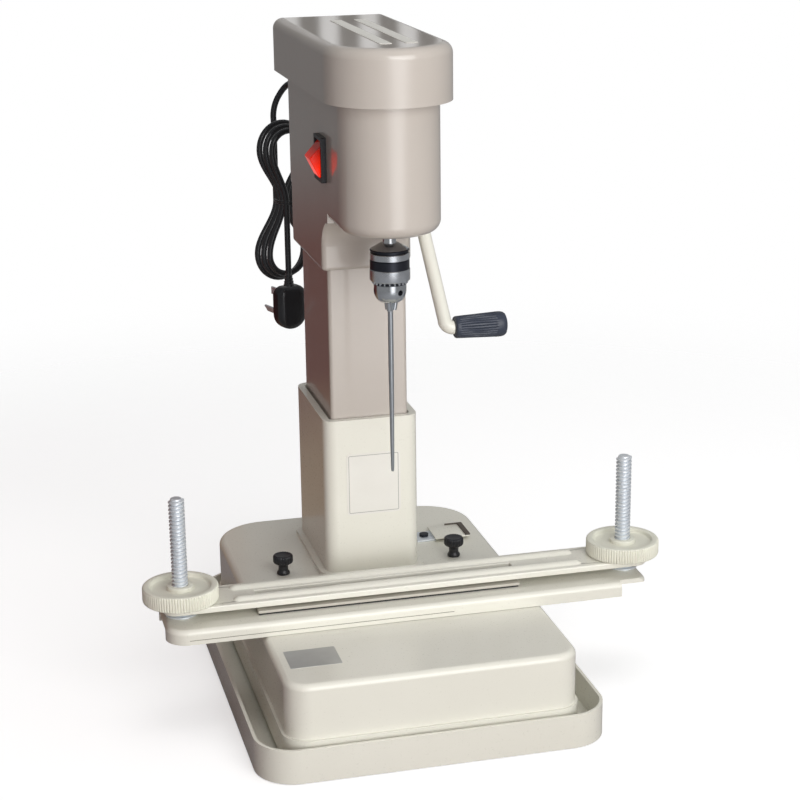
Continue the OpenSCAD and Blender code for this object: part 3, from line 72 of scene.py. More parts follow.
# Mains cord. A round lead in extruded black PVC leaves a tapered relief on the head's rear wall.
# It hangs down, folded into a hank that a tie holds at the waist, with the plug at the lower end.
MM = 0.001
CORD_D = 5.0
HEAD_REAR = 135.0
GLAND = Vector((-28, HEAD_REAR, 446))
GLAND_LENGTH = 22.0
LEAD_STEPS = [
    (0, 0, 0), (0, 5, 0), (-0.5, 11, -1), (-2.5, 16.5, -3), (-5, 21.5, -6.5),
    (-7.5, 25, -11), (-10, 28, -16.5), (-12, 29, -22.5), (-13, 29, -28.5), (-13, 29, -34)]
LEAD_CUTS = 6
STRAIGHT_CUTS = 8
HANK_TURN = math.radians(20)
HANK_PINCH = 3.2
HANK_LAYER = CORD_D + 0.6
HANK_LOOPS = 3
HANK_OUTER = 23.0
HANK_INNER = 15.0
HANK_RUN = 44.0
HANK_DROP = 66.0
TAIL_DROP = 60.0
HANK_STEPS = 96
RUN_SHARE = 7 / 24
FOLD_SHARE = 5 / 24


def smooth_line(points, cuts):
    """Points on one smooth curve through the given ones."""
    ends = [points[0] * 2 - points[1], *points, points[-1] * 2 - points[-2]]
    line = []
    for a, b, c, d in zip(ends, ends[1:], ends[2:], ends[3:]):
        for cut in range(cuts):
            t = cut / cuts
            line.append(0.5 * (2 * b + (c - a) * t + (2 * a - 5 * b + 4 * c - d) * t ** 2
                               + (3 * b - a - 3 * c + d) * t ** 3))
    return line + [points[-1]]


def hank_run(half, height):
    """Distance of a run from the hank's middle, drawn in at the waist."""
    return HANK_PINCH + (half - HANK_PINCH) * (1 - math.cos(math.pi * height / HANK_RUN)) / 2


def hank_point(turns):
    """Point of the hank after that many turns, each of which is half a run down, a fold, a run up,
    a fold and half a run down."""
    turn = min(math.floor(turns), HANK_LOOPS - 1)
    share = turns - turn
    half = HANK_OUTER - (HANK_OUTER - HANK_INNER) * turns / HANK_LOOPS
    marks = [RUN_SHARE / 2, RUN_SHARE / 2 + FOLD_SHARE, 1.5 * RUN_SHARE + FOLD_SHARE, 1 - RUN_SHARE / 2]
    if share < marks[0]:
        height = -HANK_RUN * share / marks[0]
        across = -hank_run(half, height)
    elif share < marks[1]:
        bend = math.pi * (share - marks[0]) / FOLD_SHARE
        across, height = -half * math.cos(bend), -HANK_RUN - half * math.sin(bend)
    elif share < marks[2]:
        height = HANK_RUN * (2 * (share - marks[1]) / RUN_SHARE - 1)
        across = hank_run(half, height)
    elif share < marks[3]:
        bend = math.pi * (share - marks[2]) / FOLD_SHARE
        across, height = half * math.cos(bend), HANK_RUN + half * math.sin(bend)
    else:
        height = HANK_RUN * (1 - share) / marks[0]
        across = -hank_run(half, height)
    climb = min(max((share - marks[1]) / RUN_SHARE, 0), 1)
    depth = (HANK_LOOPS / 2 - turn - climb) * HANK_LAYER
    return hank_middle + across * hank_across + depth * hank_along + Vector((0, 0, height))


def wire(name, line, thickness, fineness):
    """Round wire along a line of points in millimetres."""
    curve = bpy.data.curves.new(name, "CURVE")
    curve.dimensions = "3D"
    curve.bevel_depth = thickness / 2 * MM
    curve.bevel_resolution = fineness
    curve.use_fill_caps = True
    spline = curve.splines.new("POLY")
    spline.points.add(len(line) - 1)
    for point, place in zip(spline.points, line):
        point.co = (*(place * MM), 1)
    piece = bpy.data.objects.new(name, curve)
    bpy.context.scene.collection.objects.link(piece)
    return piece


lead_start = GLAND + Vector((0, GLAND_LENGTH, 0))
lead = [lead_start + Vector(step) for step in LEAD_STEPS]
hank_across = Vector((math.cos(HANK_TURN), math.sin(HANK_TURN), 0))
hank_along = Vector((-math.sin(HANK_TURN), math.cos(HANK_TURN), 0))
hank_middle = (lead[-1] + HANK_PINCH * hank_across - HANK_LOOPS / 2 * HANK_LAYER * hank_along
               - Vector((0, 0, HANK_DROP)))
loops = [hank_point(k / HANK_STEPS) for k in range(HANK_LOOPS * HANK_STEPS + 1)]
plug_top = loops[-1] - Vector((0, 0, TAIL_DROP))
descent = [lead[-1].lerp(loops[0], k / STRAIGHT_CUTS) for k in range(1, STRAIGHT_CUTS)]
tail = [loops[-1].lerp(plug_top, k / STRAIGHT_CUTS) for k in range(1, STRAIGHT_CUTS + 1)]
cord_line = smooth_line(lead, LEAD_CUTS) + descent + loops + tail
cord = wire("mains_cord", cord_line, CORD_D, fineness=4)


def linear(code):
    """Linear colour of an sRGB hex value."""
    parts = [int(code[k:k + 2], 16) / 255 for k in (1, 3, 5)]
    return (*[c / 12.92 if c <= 0.04045 else ((c + 0.055) / 1.055) ** 2.4 for c in parts], 1)


def add_node(tree, kind, inputs=None, links=None, **settings):
    """Adds a shader node with its settings, its fixed inputs and what feeds the others."""
    node = tree.nodes.new("ShaderNode" + kind)
    for name, value in settings.items():
        setattr(node, name, value)
    for socket, value in (inputs or {}).items():
        node.inputs[socket].default_value = value
    for socket, source in (links or {}).items():
        tree.links.new(source, node.inputs[socket])
    return node


def start_material(name, **fixed):
    """New material with fixed values on its shader: the tree, the shader and the object's coordinates."""
    material = bpy.data.materials.new(name)
    material.use_nodes = True
    tree = material.node_tree
    shader = tree.nodes["Principled BSDF"]
    for socket, value in fixed.items():
        shader.inputs[socket.replace("_", " ")].default_value = value
    return material, tree, shader, add_node(tree, "TexCoord").outputs["Object"]


def surface(name, pale, deep, drift_mm, rough, grain_mm, lift_mm, **fixed):
    """Material whose tone drifts between two colours over some millimetres, with a fine grain that
    ruffles its gloss and stands a little proud of it."""
    material, tree, shader, place = start_material(name, **fixed)
    drift = add_node(tree, "TexNoise", {"Scale": 1 / (drift_mm * MM), "Detail": 4}, {"Vector": place})
    tone = add_node(tree, "Mix", {6: linear(pale), 7: linear(deep)}, {0: drift.outputs[0]},
                    data_type="RGBA")
    grain = add_node(tree, "TexNoise", {"Scale": 1 / (grain_mm * MM), "Detail": 3}, {"Vector": place})
    gloss = add_node(tree, "MapRange", {"To Min": rough[0], "To Max": rough[1]},
                     {"Value": grain.outputs[0]})
    lift = add_node(tree, "Bump", {"Strength": 0.6, "Distance": lift_mm * MM},
                    {"Height": grain.outputs[0]})
    tree.links.new(tone.outputs[2], shader.inputs["Base Color"])
    tree.links.new(gloss.outputs[0], shader.inputs["Roughness"])
    tree.links.new(lift.outputs[0], shader.inputs["Normal"])
    return material


# Extruded PVC: deep black with a soft sheen and the faint ripple of the die.
black_pvc = surface("black_pvc", "#17181b", "#222327", drift_mm=14, rough=(0.18, 0.30),
                    grain_mm=1.2, lift_mm=0.02, IOR=1.53)
cord.data.materials.append(black_pvc)
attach(cord, "head")
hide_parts("cord_lead", "cord_hank")


# Cord relief. A moulded rubber sleeve keeps the cord from kinking where it leaves the head.
# It is pushed through the rear wall up to its flange, and its ribs let it bend.
RELIEF_RIB = 4.0
MERGE_MM = 0.001


def turned(name, profile, origin, axis, steps):
    """Piece turned about an axis through the origin, from (radius, distance along the axis) in
    millimetres."""
    along = Vector([float(letter == axis) for letter in "XYZ"])
    outward = along.yzx
    line = [(origin + outward * radius + along * reach) * MM for radius, reach in profile]
    bpy.ops.object.select_all(action="DESELECT")
    bpy.ops.mesh.primitive_plane_add(size=MM)
    piece = bpy.context.object
    piece.name = piece.data.name = name
    bpy.ops.object.mode_set(mode="EDIT")
    bpy.ops.mesh.select_mode(type="VERT")
    bpy.ops.mesh.select_all(action="SELECT")
    bpy.ops.mesh.merge(type="CENTER")
    bpy.ops.transform.translate(value=line[0])
    for here, there in zip(line, line[1:]):
        bpy.ops.mesh.extrude_vertices_move(TRANSFORM_OT_translate={"value": there - here})
    bpy.ops.mesh.select_all(action="SELECT")
    bpy.ops.mesh.spin(steps=steps, angle=2 * math.pi, center=origin * MM, axis=along)
    bpy.ops.mesh.select_all(action="SELECT")
    bpy.ops.mesh.remove_doubles(threshold=MERGE_MM * MM)
    bpy.ops.mesh.normals_make_consistent(inside=False)
    bpy.ops.object.mode_set(mode="OBJECT")
    return piece


def finish_piece(piece, material, body, *replaced, crease=35):
    """Shades the piece, gives it its material and its body, and hides the solids that it stands for."""
    bpy.ops.object.select_all(action="DESELECT")
    piece.select_set(True)
    bpy.context.view_layer.objects.active = piece
    bpy.ops.object.shade_smooth_by_angle(angle=math.radians(crease))
    piece.data.materials.clear()
    piece.data.materials.append(material)
    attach(piece, body)
    if replaced:
        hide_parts(*replaced)
    return piece


relief_ribs = [(6.0 - 0.4 * k + drop, 5.0 + RELIEF_RIB * k + step)
               for k in range(4) for step, drop in ((0, 0), (2.2, -0.2), (2.6, -1.2), (3.6, -1.3))]
relief = turned(
    "cord_relief",
    [(0, -5), (5, -5), (5, 0), (7.4, 0), (8, 0.6), (8, 2.4), (7.4, 3), (6.2, 3.4),
     *relief_ribs, (4.4, 21), (4.0, GLAND_LENGTH), (0, GLAND_LENGTH)],
    GLAND, "Y", steps=40)
# Moulded rubber: a dull soft black with hardly any gloss; it also paints the shade under the backing strips.
black_rubber = surface("black_rubber", "#1c1c1d", "#29292b", drift_mm=9, rough=(0.55, 0.7),
                       grain_mm=0.8, lift_mm=0.03, IOR=1.52)
finish_piece(relief, black_rubber, "head", "cord_gland")


# Cord tie. A wire coated in black PVC is wound twice round the hank's waist.
# Its ends are twisted together and stand off to one side.
TIE_D = 1.8
TIE_TURNS = 2
TIE_STEPS = 28
TIE_ACROSS = 6.6
TIE_ALONG = 12.4
TIE_RISE = 3.2
TWIST_STEPS = 14
TWIST_PITCH = 7
TWIST_R = 0.9
TWIST_OUT = 1.3
TWIST_FALL = 0.3

tie_line = []
for k in range(TIE_TURNS * TIE_STEPS + 1):
    turn = 2 * math.pi * k / TIE_STEPS
    tie_line.append(
        hank_middle + hank_across * (TIE_ACROSS * math.cos(turn)) + hank_along * (TIE_ALONG * math.sin(turn))
        + Vector((0, 0, TIE_RISE * (k / (TIE_TURNS * TIE_STEPS) - 0.5))))
for k in range(1, TWIST_STEPS + 1):
    turn = 2 * math.pi * k / TWIST_PITCH
    tie_line.append(
        hank_middle + hank_across * (TIE_ACROSS + TWIST_OUT * k - TWIST_R * (1 - math.cos(turn)))
        + hank_along * (TWIST_R * math.sin(turn)) + Vector((0, 0, TIE_RISE / 2 - TWIST_FALL * k)))
tie = wire("cord_tie_wire", tie_line, TIE_D, fineness=3)
tie.data.materials.append(black_pvc)
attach(tie, "head")
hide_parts("cord_tie")


# Plug. A flat plug moulded in PVC hangs at the cord's end, with three plated blades toward the rear.
# Its ribbed relief is moulded on in one piece, over the end of the cord.
PLUG_SIZE = Vector((27, 17, 37))
PLUG_CORNERS = ((1, 8.0), (-1, 13.0))
PLUG_EDGE = 6.0
PLUG_RELIEF = 10.0
PLUG_RIB = 2.4


def pick(piece, kind, test):
    """Selects, in edit mode, the parts of a piece that pass a test on their middle, in millimetres, and
    their direction or normal."""
    bpy.context.view_layer.objects.active = piece
    bpy.ops.object.mode_set(mode="OBJECT")
    bpy.ops.object.select_all(action="DESELECT")
    piece.select_set(True)
    bpy.ops.object.mode_set(mode="EDIT")
    bpy.ops.mesh.select_mode(type=kind)
    bpy.ops.mesh.select_all(action="DESELECT")
    bpy.ops.object.mode_set(mode="OBJECT")
    mesh = piece.data
    if kind == "EDGE":
        for edge in mesh.edges:
            a, b = [mesh.vertices[k].co for k in edge.vertices]
            edge.select = test((a + b) / 2 / MM, (b - a).normalized())
    elif kind == "FACE":
        for face in mesh.polygons:
            face.select = test(face.center / MM, face.normal)
    else:
        for vertex in mesh.vertices:
            vertex.select = test(vertex.co / MM, vertex.normal)
    bpy.ops.object.mode_set(mode="EDIT")


def block(name, size, middle=Vector()):
    """Plain block of a size in millimetres, to be shaped."""
    bpy.ops.object.select_all(action="DESELECT")
    bpy.ops.mesh.primitive_cube_add(size=1)
    piece = bpy.context.object
    piece.name = piece.data.name = name
    piece.matrix_world = Matrix.Translation(middle * MM) @ Matrix.Diagonal((*(size * MM), 1))
    bpy.ops.object.transform_apply(location=True, rotation=True, scale=True)
    return piece


def join(*pieces):
    """Joins pieces into the first one."""
    bpy.ops.object.select_all(action="DESELECT")
    for piece in pieces:
        piece.select_set(True)
    bpy.context.view_layer.objects.active = pieces[0]
    bpy.ops.object.join()
    return pieces[0]


plug = block("plug", PLUG_SIZE)
for end, corner in PLUG_CORNERS:
    pick(plug, "EDGE", lambda middle, way: abs(way.y) > 0.9 and middle.z * end > PLUG_SIZE.z * 0.45)
    bpy.ops.mesh.bevel(offset=corner * MM, segments=8, affect="EDGES")
pick(plug, "FACE", lambda middle, normal: abs(normal.y) > 0.9)
bpy.ops.mesh.region_to_loop()
bpy.ops.mesh.bevel(offset=PLUG_EDGE * MM, segments=5, affect="EDGES")
bpy.ops.object.mode_set(mode="OBJECT")
plug_middle = plug_top - Vector((0, 0, PLUG_RELIEF + PLUG_SIZE.z / 2))
plug.matrix_world = Matrix.Translation(plug_middle * MM) @ Matrix.Rotation(HANK_TURN, 4, "Z")
bpy.ops.object.transform_apply(location=True, rotation=True, scale=True)
plug_ribs = [(4.4 - 0.4 * k + drop, -PLUG_RELIEF + PLUG_RIB * k + step)
             for k in range(4) for step, drop in ((0, 0), (1.3, 0), (1.6, -0.6), (2.1, -0.6))]
plug_relief = turned(
    "plug_relief",
    [(0, -PLUG_RELIEF - 2), (4.8, -PLUG_RELIEF - 2), *plug_ribs, (2.9, 0), (0, 0)],
    plug_top, "Z", steps=32)
plug = finish_piece(join(plug, plug_relief), black_pvc, "head", "plug_body")

# The gloss of the head's wall mirrors the room, and stays free of the cord close by.
for piece in (cord, tie, plug, relief):
    piece.visible_glossy = False


def dress(material, edge, *names):
    """Gives carried-over solids their material, and rounds their sharp edges as paint and handling do."""
    for name in names:
        piece = cad[name]
        piece.data.materials.clear()
        piece.data.materials.append(material)
        if edge:
            weld = piece.modifiers.new("weld", "WELD")
            weld.merge_threshold = 0.002 * MM
            round_edge = piece.modifiers.new("round_edge", "BEVEL")
            round_edge.width = edge * MM
            round_edge.segments = 3
            round_edge.limit_method = "ANGLE"
            round_edge.angle_limit = math.radians(40)
            even = piece.modifiers.new("even", "WEIGHTED_NORMAL")
            even.keep_sharp = False


# Zinc plate: milky passivated plating with a cool bluish cast, so only part of it mirrors.
zinc_plate = surface("zinc_plate", "#eff3f7", "#e0e6ec", drift_mm=6, rough=(0.32, 0.46),
                     grain_mm=0.5, lift_mm=0.01, Metallic=0.6)
dress(zinc_plate, 0.3, "plug_blades")


# Chip tray. A shallow tray, pressed from sheet steel, catches the chips.
# It is sprayed with cream enamel and stoved, and the machine stands in it.
# Stoved enamel: a thick even coat with a soft gloss and the slight orange peel of spraying.
cream_enamel = surface("cream_enamel", "#e9e7dc", "#e1dfd3", drift_mm=70, rough=(0.24, 0.34),
                       grain_mm=1.6, lift_mm=0.03, IOR=1.5, Coat_Weight=0.3, Coat_Roughness=0.1)
dress(cream_enamel, 0.8, "chip_tray")


# Base. A plinth pan on four rubber feet carries a deep cover with round corners, both in cream enamel.
# The cover is held by screws from below.
dress(black_rubber, 0.5, "rubber_feet")
dress(cream_enamel, 0.8, "base_plinth", "base_cover")
# Black oxide: a thin blued coat over machined steel, dark with a dull sheen; it also paints the shade in the
# chuck's hollows.
black_oxide_and_shade = surface("black_oxide_and_shade", "#23252c", "#30333b", drift_mm=5, rough=(0.28, 0.42),
                      grain_mm=0.5, lift_mm=0.01, Metallic=0.7)
dress(black_oxide_and_shade, 0, "cover_screws")


# Side bracket. A folded foot in plated sheet, screwed to the cover beside the sleeve, carries a tongue.
# The tongue is enamelled, and a dark strip along its right and rear edges paints the shade of a recess's
# walls.
FOOT_HALF = Vector((8, 10, 0))
FOOT_SHEET = 1.5
RISER_HEIGHT = 3.9
TONGUE_WIDTH = 30.0
SHADE_RIGHT = 4.2
SHADE_REAR = (15.0, 1.3)
LIP_HOLD = 0.2


def box_mm(node):
    """Lowest and highest corner of a solid, in millimetres."""
    return [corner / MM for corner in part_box(node)]


def axis_point(node, height=None):
    """Point on the axis of an upright round solid, at its foot or at a height in millimetres."""
    low, high = box_mm(node)
    return Vector(((low.x + high.x) / 2, (low.y + high.y) / 2, low.z if height is None else height))


def slab(name, low, high, edge):
    """Block between two corners, with every edge rounded."""
    piece = block(name, high - low, (low + high) / 2)
    pick(piece, "EDGE", lambda middle, way: True)
    bpy.ops.mesh.bevel(offset=edge * MM, segments=3, affect="EDGES")
    bpy.ops.object.mode_set(mode="OBJECT")
    return piece


cover_top = box_mm("base_cover")[1].z
bracket_foot = axis_point("bracket_screw", cover_top)
tongue_low, tongue_high = box_mm("bracket_pad")
foot_sheet = slab("bracket_foot", bracket_foot - FOOT_HALF,
                  bracket_foot + FOOT_HALF + Vector((0, 0, FOOT_SHEET)), edge=0.35)
riser = slab("bracket_riser",
             bracket_foot + Vector((FOOT_HALF.x - FOOT_SHEET, -FOOT_HALF.y, LIP_HOLD)),
             bracket_foot + FOOT_HALF + Vector((0, 0, RISER_HEIGHT)), edge=0.35)
finish_piece(join(foot_sheet, riser), zinc_plate, "base", "side_bracket")
tongue = slab("bracket_tongue",
              Vector((tongue_high.x - TONGUE_WIDTH, tongue_low.y, tongue_low.z - FOOT_SHEET)),
              Vector((tongue_high.x, tongue_high.y, tongue_low.z)), edge=0.4)
finish_piece(tongue, cream_enamel, "base", "side_bracket")
# Painted shade: dark strips along the tongue's right and rear edges.
shade_strip_right = slab("bracket_shade_strip",
                 Vector((tongue_high.x - SHADE_RIGHT, tongue_low.y, tongue_low.z - LIP_HOLD)),
                 tongue_high, edge=0.3)
shade_strip_rear = slab("shade_strip_rear",
                Vector((tongue_high.x - SHADE_REAR[0], tongue_high.y - SHADE_REAR[1],
                        tongue_low.z - LIP_HOLD)),
                tongue_high, edge=0.3)
# Painted shade: a dull dark brown strip without gloss, standing for the shaded walls of a recess.
brown_shade_strip = surface("brown_shade_strip", "#5a524b", "#4a433d", drift_mm=8, rough=(0.55, 0.7),
                       grain_mm=0.8, lift_mm=0.03, IOR=1.52)
finish_piece(join(shade_strip_right, shade_strip_rear), brown_shade_strip, "base", "bracket_pad")
dress(black_oxide_and_shade, 0.3, "bracket_screw")


# Thumb knobs. Two knobs moulded in black ABS are screwed into the cover, one at each side of the sleeve.
# Each has a round foot, a narrow neck and a fluted head.
KNOB_FLUTES = 20
KNOB_COLUMNS = 3
KNOB_FLUTE_SHARE = 0.93
KNOB_FLUTE_LOW = 9.5
KNOB_FLUTE_INNER = 7.0


def column_of(place, origin, axis, count):
    """Number of the column that a point lies on, counted round an X or Z axis."""
    across = place - origin
    if axis == "X":
        across = across.yzx
    return round(math.atan2(across.y, across.x) / (2 * math.pi) * count) % count


def flute(piece, origin, axis, grooves, columns, share, test):
    """Draws one of every few columns of a turned piece toward its axis, where a test on the way from its
    origin passes."""
    pick(piece, "VERT", lambda place, normal: test(place - origin)
         and column_of(place, origin, axis, grooves * columns) % columns == 0)
    bpy.ops.transform.resize(value=[1 if letter == axis else share for letter in "XYZ"],
                             center_override=origin * MM)
    bpy.ops.object.mode_set(mode="OBJECT")


# Moulded ABS: a fine even spark texture on deep black.
black_abs = surface("black_abs", "#141519", "#1d1e24", drift_mm=12, rough=(0.32, 0.46),
                    grain_mm=0.6, lift_mm=0.02, IOR=1.54)
for body, node in (("knob_left", "left_knob"), ("knob_right", "right_knob")):
    origin = axis_point(node, cover_top)
    knob = turned(
        node + "_head",
        [(0, -12), (3, -12), (3, 0.2), (4.9, 0.2), (5.2, 0.5), (5.2, 1.6), (4.8, 2.4), (4.1, 3.4),
         (3.9, 4.6), (3.9, 7.2), (4.5, 8.2), (6.2, 9.2), (7.5, 10.0), (8, 11), (8, 14.6), (7.8, 15.6),
         (7.2, 16.3), (6.4, 16.5), (5.6, 16.2), (3, 15.8), (0, 15.7)],
        origin, "Z", KNOB_FLUTES * KNOB_COLUMNS)
    flute(knob, origin, "Z", KNOB_FLUTES, KNOB_COLUMNS, KNOB_FLUTE_SHARE,
          lambda way: way.z > KNOB_FLUTE_LOW and way.xy.length > KNOB_FLUTE_INNER)
    finish_piece(knob, black_abs, body, node, crease=50)


# Column. A cast sleeve in cream enamel is bolted to the base, and a square tube slides in it.
# The tube is in taupe enamel. Nylon pads guide it, and a steel rack post stands inside it.
dress(cream_enamel, 1.2, "column_sleeve")
# Taupe enamel: the same stoved coat, glossier, so that it mirrors the room softly.
taupe_enamel = surface("taupe_enamel", "#c1b9b1", "#b9b0a7", drift_mm=60, rough=(0.26, 0.34),
                       grain_mm=1.6, lift_mm=0.02, IOR=1.5, Coat_Weight=0.8, Coat_Roughness=0.07)
dress(taupe_enamel, 0.8, "inner_column")
# Nylon: milky and dull.
nylon = surface("nylon", "#e8e4d8", "#dcd7c8", drift_mm=12, rough=(0.45, 0.6),
                grain_mm=0.9, lift_mm=0.02, IOR=1.53)
dress(nylon, 0, "guide_pads")
# Ground steel: bright grey, brushed by the wheel.
bright_steel = surface("bright_steel", "#d4d6d9", "#c2c5c9", drift_mm=8, rough=(0.14, 0.26),
                       grain_mm=0.4, lift_mm=0.01, Metallic=1.0)
dress(bright_steel, 0.2, "rack_post", "column_plate")
dress(black_oxide_and_shade, 0, "sleeve_screws", "rack_bolts", "column_screws")


# Head. A cast housing in taupe enamel, with a round motor barrel in front and a deep carriage behind it.
# A larger cap closes it at the top.
dress(taupe_enamel, 0.8, "head_housing", "top_cap")


# Motor. Inside the barrel: varnished laminations between two die-cast brackets, ball bearings,
# a wound rotor with a nylon fan, and through screws.
# Laminations: stacked sheet steel under a dull varnish.
laminations = surface("laminations", "#6d6f73", "#5a5c60", drift_mm=8, rough=(0.4, 0.55),
                      grain_mm=0.6, lift_mm=0.03, Metallic=0.9)
# Die-cast alloy: pale grey with a matt skin.
cast_alloy = surface("cast_alloy", "#9aa0a6", "#888e94", drift_mm=9, rough=(0.4, 0.55),
                     grain_mm=0.9, lift_mm=0.04, Metallic=0.9)
# Copper winding: brown enamelled wire, satin and streaked by its turns.
copper_winding = surface("copper_winding", "#8a5a32", "#6d4526", drift_mm=3, rough=(0.35, 0.5),
                         grain_mm=0.5, lift_mm=0.05, Metallic=0.8)
dress(laminations, 0, "motor_stator")
dress(cast_alloy, 0, "motor_lower_bracket", "motor_upper_bracket")
dress(copper_winding, 0, "rotor")
dress(nylon, 0, "cooling_fan")
dress(bright_steel, 0, "lower_bearing", "upper_bearing", "spindle_shaft")
dress(black_oxide_and_shade, 0, "motor_screws")


# Switch. A bezel moulded in black ABS is snapped into the head's left wall.
# It holds a translucent red rocker with a lamp inside.
LENS_FADE = (8.0, -7.0)
LENS_GLOW = (0.06, 0.75)
dress(black_abs, 0.6, "switch_bezel")
# Lit lens: clear red plastic, brightest over its lamp.
red_lens = surface("red_lens", "#c81606", "#840b04", drift_mm=5, rough=(0.12, 0.2),
                   grain_mm=1.0, lift_mm=0.01,
                   IOR=1.5, Specular_IOR_Level=0.25, Emission_Color=linear("#ff2c0a"))
tree = red_lens.node_tree
place = add_node(tree, "SeparateXYZ", {}, {0: add_node(tree, "TexCoord").outputs["Object"]})
rocker_low, rocker_high = box_mm("switch_rocker")
fade_top, fade_bottom = [((rocker_low.z + rocker_high.z) / 2 + rise) * MM for rise in LENS_FADE]
lamp_glow = add_node(
    tree, "MapRange",
    {"From Min": fade_top, "From Max": fade_bottom, "To Min": LENS_GLOW[0], "To Max": LENS_GLOW[1]},
    {"Value": place.outputs["Z"]})
tree.links.new(lamp_glow.outputs[0], tree.nodes["Principled BSDF"].inputs["Emission Strength"])
dress(red_lens, 0.7, "switch_rocker")


# Feed crank. A bent steel rod with a round hub, in cream enamel, turns the pinion on the rack.
# A screw clamps it to the crank shaft, which runs in two bronze bushes.
dress(cream_enamel, 0.5, "crank_arm")
dress(zinc_plate, 0.3, "crank_washer", "crank_screw")
dress(bright_steel, 0.2, "crank_shaft", "pinion")
# Bronze: warm brown metal with a turned satin face.
bronze = surface("bronze", "#a9793f", "#94682f", drift_mm=6, rough=(0.3, 0.45),
                 grain_mm=0.5, lift_mm=0.02, Metallic=1.0)
dress(bronze, 0, "crank_bushes")


# Crank grip. A sleeve moulded in slate grey nylon, fluted lengthwise and thicker toward its end.
# It turns freely on the rod's end.
GRIP_FLUTES = 26
GRIP_COLUMNS = 4
GRIP_FLUTE_SHARE = 0.92
GRIP_FLUTED = (4.0, 32.0)
GRIP_FLUTE_INNER = 8.0
grip_low, grip_high = box_mm("crank_grip")
grip_origin = Vector((grip_low.x, (grip_low.y + grip_high.y) / 2, (grip_low.z + grip_high.z) / 2))
grip = turned(
    "grip",
    [(4.1, 0), (7.0, 0), (7.9, 0.3), (8.5, 1.2), (8.6, 3), (8.66, 4.2), (9.1, 16), (9.7, 31.8),
     (9.78, 33), (9.8, 35), (9.72, 37), (9.2, 39), (8.2, 40.3), (6.8, 40.9), (5, 41), (0, 41), (0, 37),
     (4.1, 37), (4.1, 0)],
    grip_origin, "X", GRIP_FLUTES * GRIP_COLUMNS)
flute(grip, grip_origin, "X", GRIP_FLUTES, GRIP_COLUMNS, GRIP_FLUTE_SHARE,
      lambda way: GRIP_FLUTED[0] < way.x < GRIP_FLUTED[1] and way.yz.length > GRIP_FLUTE_INNER)
# Moulded nylon: a dull blue-grey with a fine grain.
slate_nylon = surface("slate_nylon", "#383e4c", "#2c313d", drift_mm=9, rough=(0.34, 0.48),
                      grain_mm=0.7, lift_mm=0.03, IOR=1.53)
finish_piece(grip, slate_nylon, "grip", "crank_grip", crease=50)


# Drill chuck. A keyed three-jaw chuck on the spindle: a chromed steel body with a blackened shoulder, and
# a sleeve that turns on it, with a blackened band, a fine knurl and key teeth at its lower edge.
KEY_HOLES = 3
KEY_HOLE_R = 2.2
KEY_HOLE_DEPTH = 9.0
KEY_HOLE_OUT = 11.5
KEY_HOLE_RISE = 8.2
KEY_HOLE_SPAN = (3.0, 13.0)
KEY_HOLE_INNER = 10.6
KEY_TURN = 0.45
SHOULDER = (36.9, 39.95)
BODY_KNURL = (32.4, 36.6)
KNURL_INNER = 14.0
chuck_foot = axis_point("chuck_body")
chuck = turned(
    "chuck_core",
    [(0, 0), (6.4, 0), (7.6, 0.3), (9.4, 1.5), (10.7, 3.2), (11.6, 5.4), (12, 7.6), (12.1, 10),
     (12.1, 13.6), (11.5, 13.9), (11.5, 32), (14.2, 32), (14.6, 32.4), (14.6, 36.6), (14.2, 37),
     (13, 37), (13, 38.5), (14.3, 38.5), (14.6, 38.8), (14.6, 39.3), (14.0, 39.9), (7.2, 43.8),
     (6.6, 44), (0, 44)],
    chuck_foot, "Z", steps=96)


def carve(piece, tool, way):
    """Takes a tool's shape out of a piece, or keeps what lies within it, and removes the tool."""
    cut = piece.modifiers.new("cut", "BOOLEAN")
    cut.operation = way
    cut.object = tool
    bpy.context.view_layer.objects.active = piece
    bpy.ops.object.modifier_apply(modifier=cut.name)
    bpy.data.objects.remove(tool)


for hole in range(KEY_HOLES):
    turn = KEY_TURN + 2 * math.pi * hole / KEY_HOLES
    out = Vector((math.sin(turn), -math.cos(turn), 0))
    bpy.ops.object.select_all(action="DESELECT")
    bpy.ops.mesh.primitive_cylinder_add(
        vertices=24, radius=KEY_HOLE_R * MM, depth=KEY_HOLE_DEPTH * MM)
    key_hole = bpy.context.object
    mouth = chuck_foot + out * KEY_HOLE_OUT + Vector((0, 0, KEY_HOLE_RISE))
    key_hole.matrix_world = (Matrix.Translation(mouth * MM)
                             @ out.to_track_quat("Z", "Y").to_matrix().to_4x4())
    carve(chuck, key_hole, "DIFFERENCE")


def colour_faces(piece, material, test):
    """Another finish on the faces that pass a test on their middle and normal."""
    piece.data.materials.append(material)
    for face in piece.data.polygons:
        if test(face.center / MM, face.normal):
            face.material_index = len(piece.data.materials) - 1


def from_spindle(place):
    """Distance of a point from the spindle's axis."""
    return (place - chuck_foot).xy.length


def in_key_hole(middle, normal):
    """Whether a face of the chuck's body is a wall or the floor of a key hole."""
    way = middle - chuck_foot
    return (KEY_HOLE_SPAN[0] < way.z < KEY_HOLE_SPAN[1] and way.xy.length < KEY_HOLE_INNER
            and abs(normal.z) < 0.98 and normal.xy.normalized().dot(way.xy.normalized()) < 0.5)


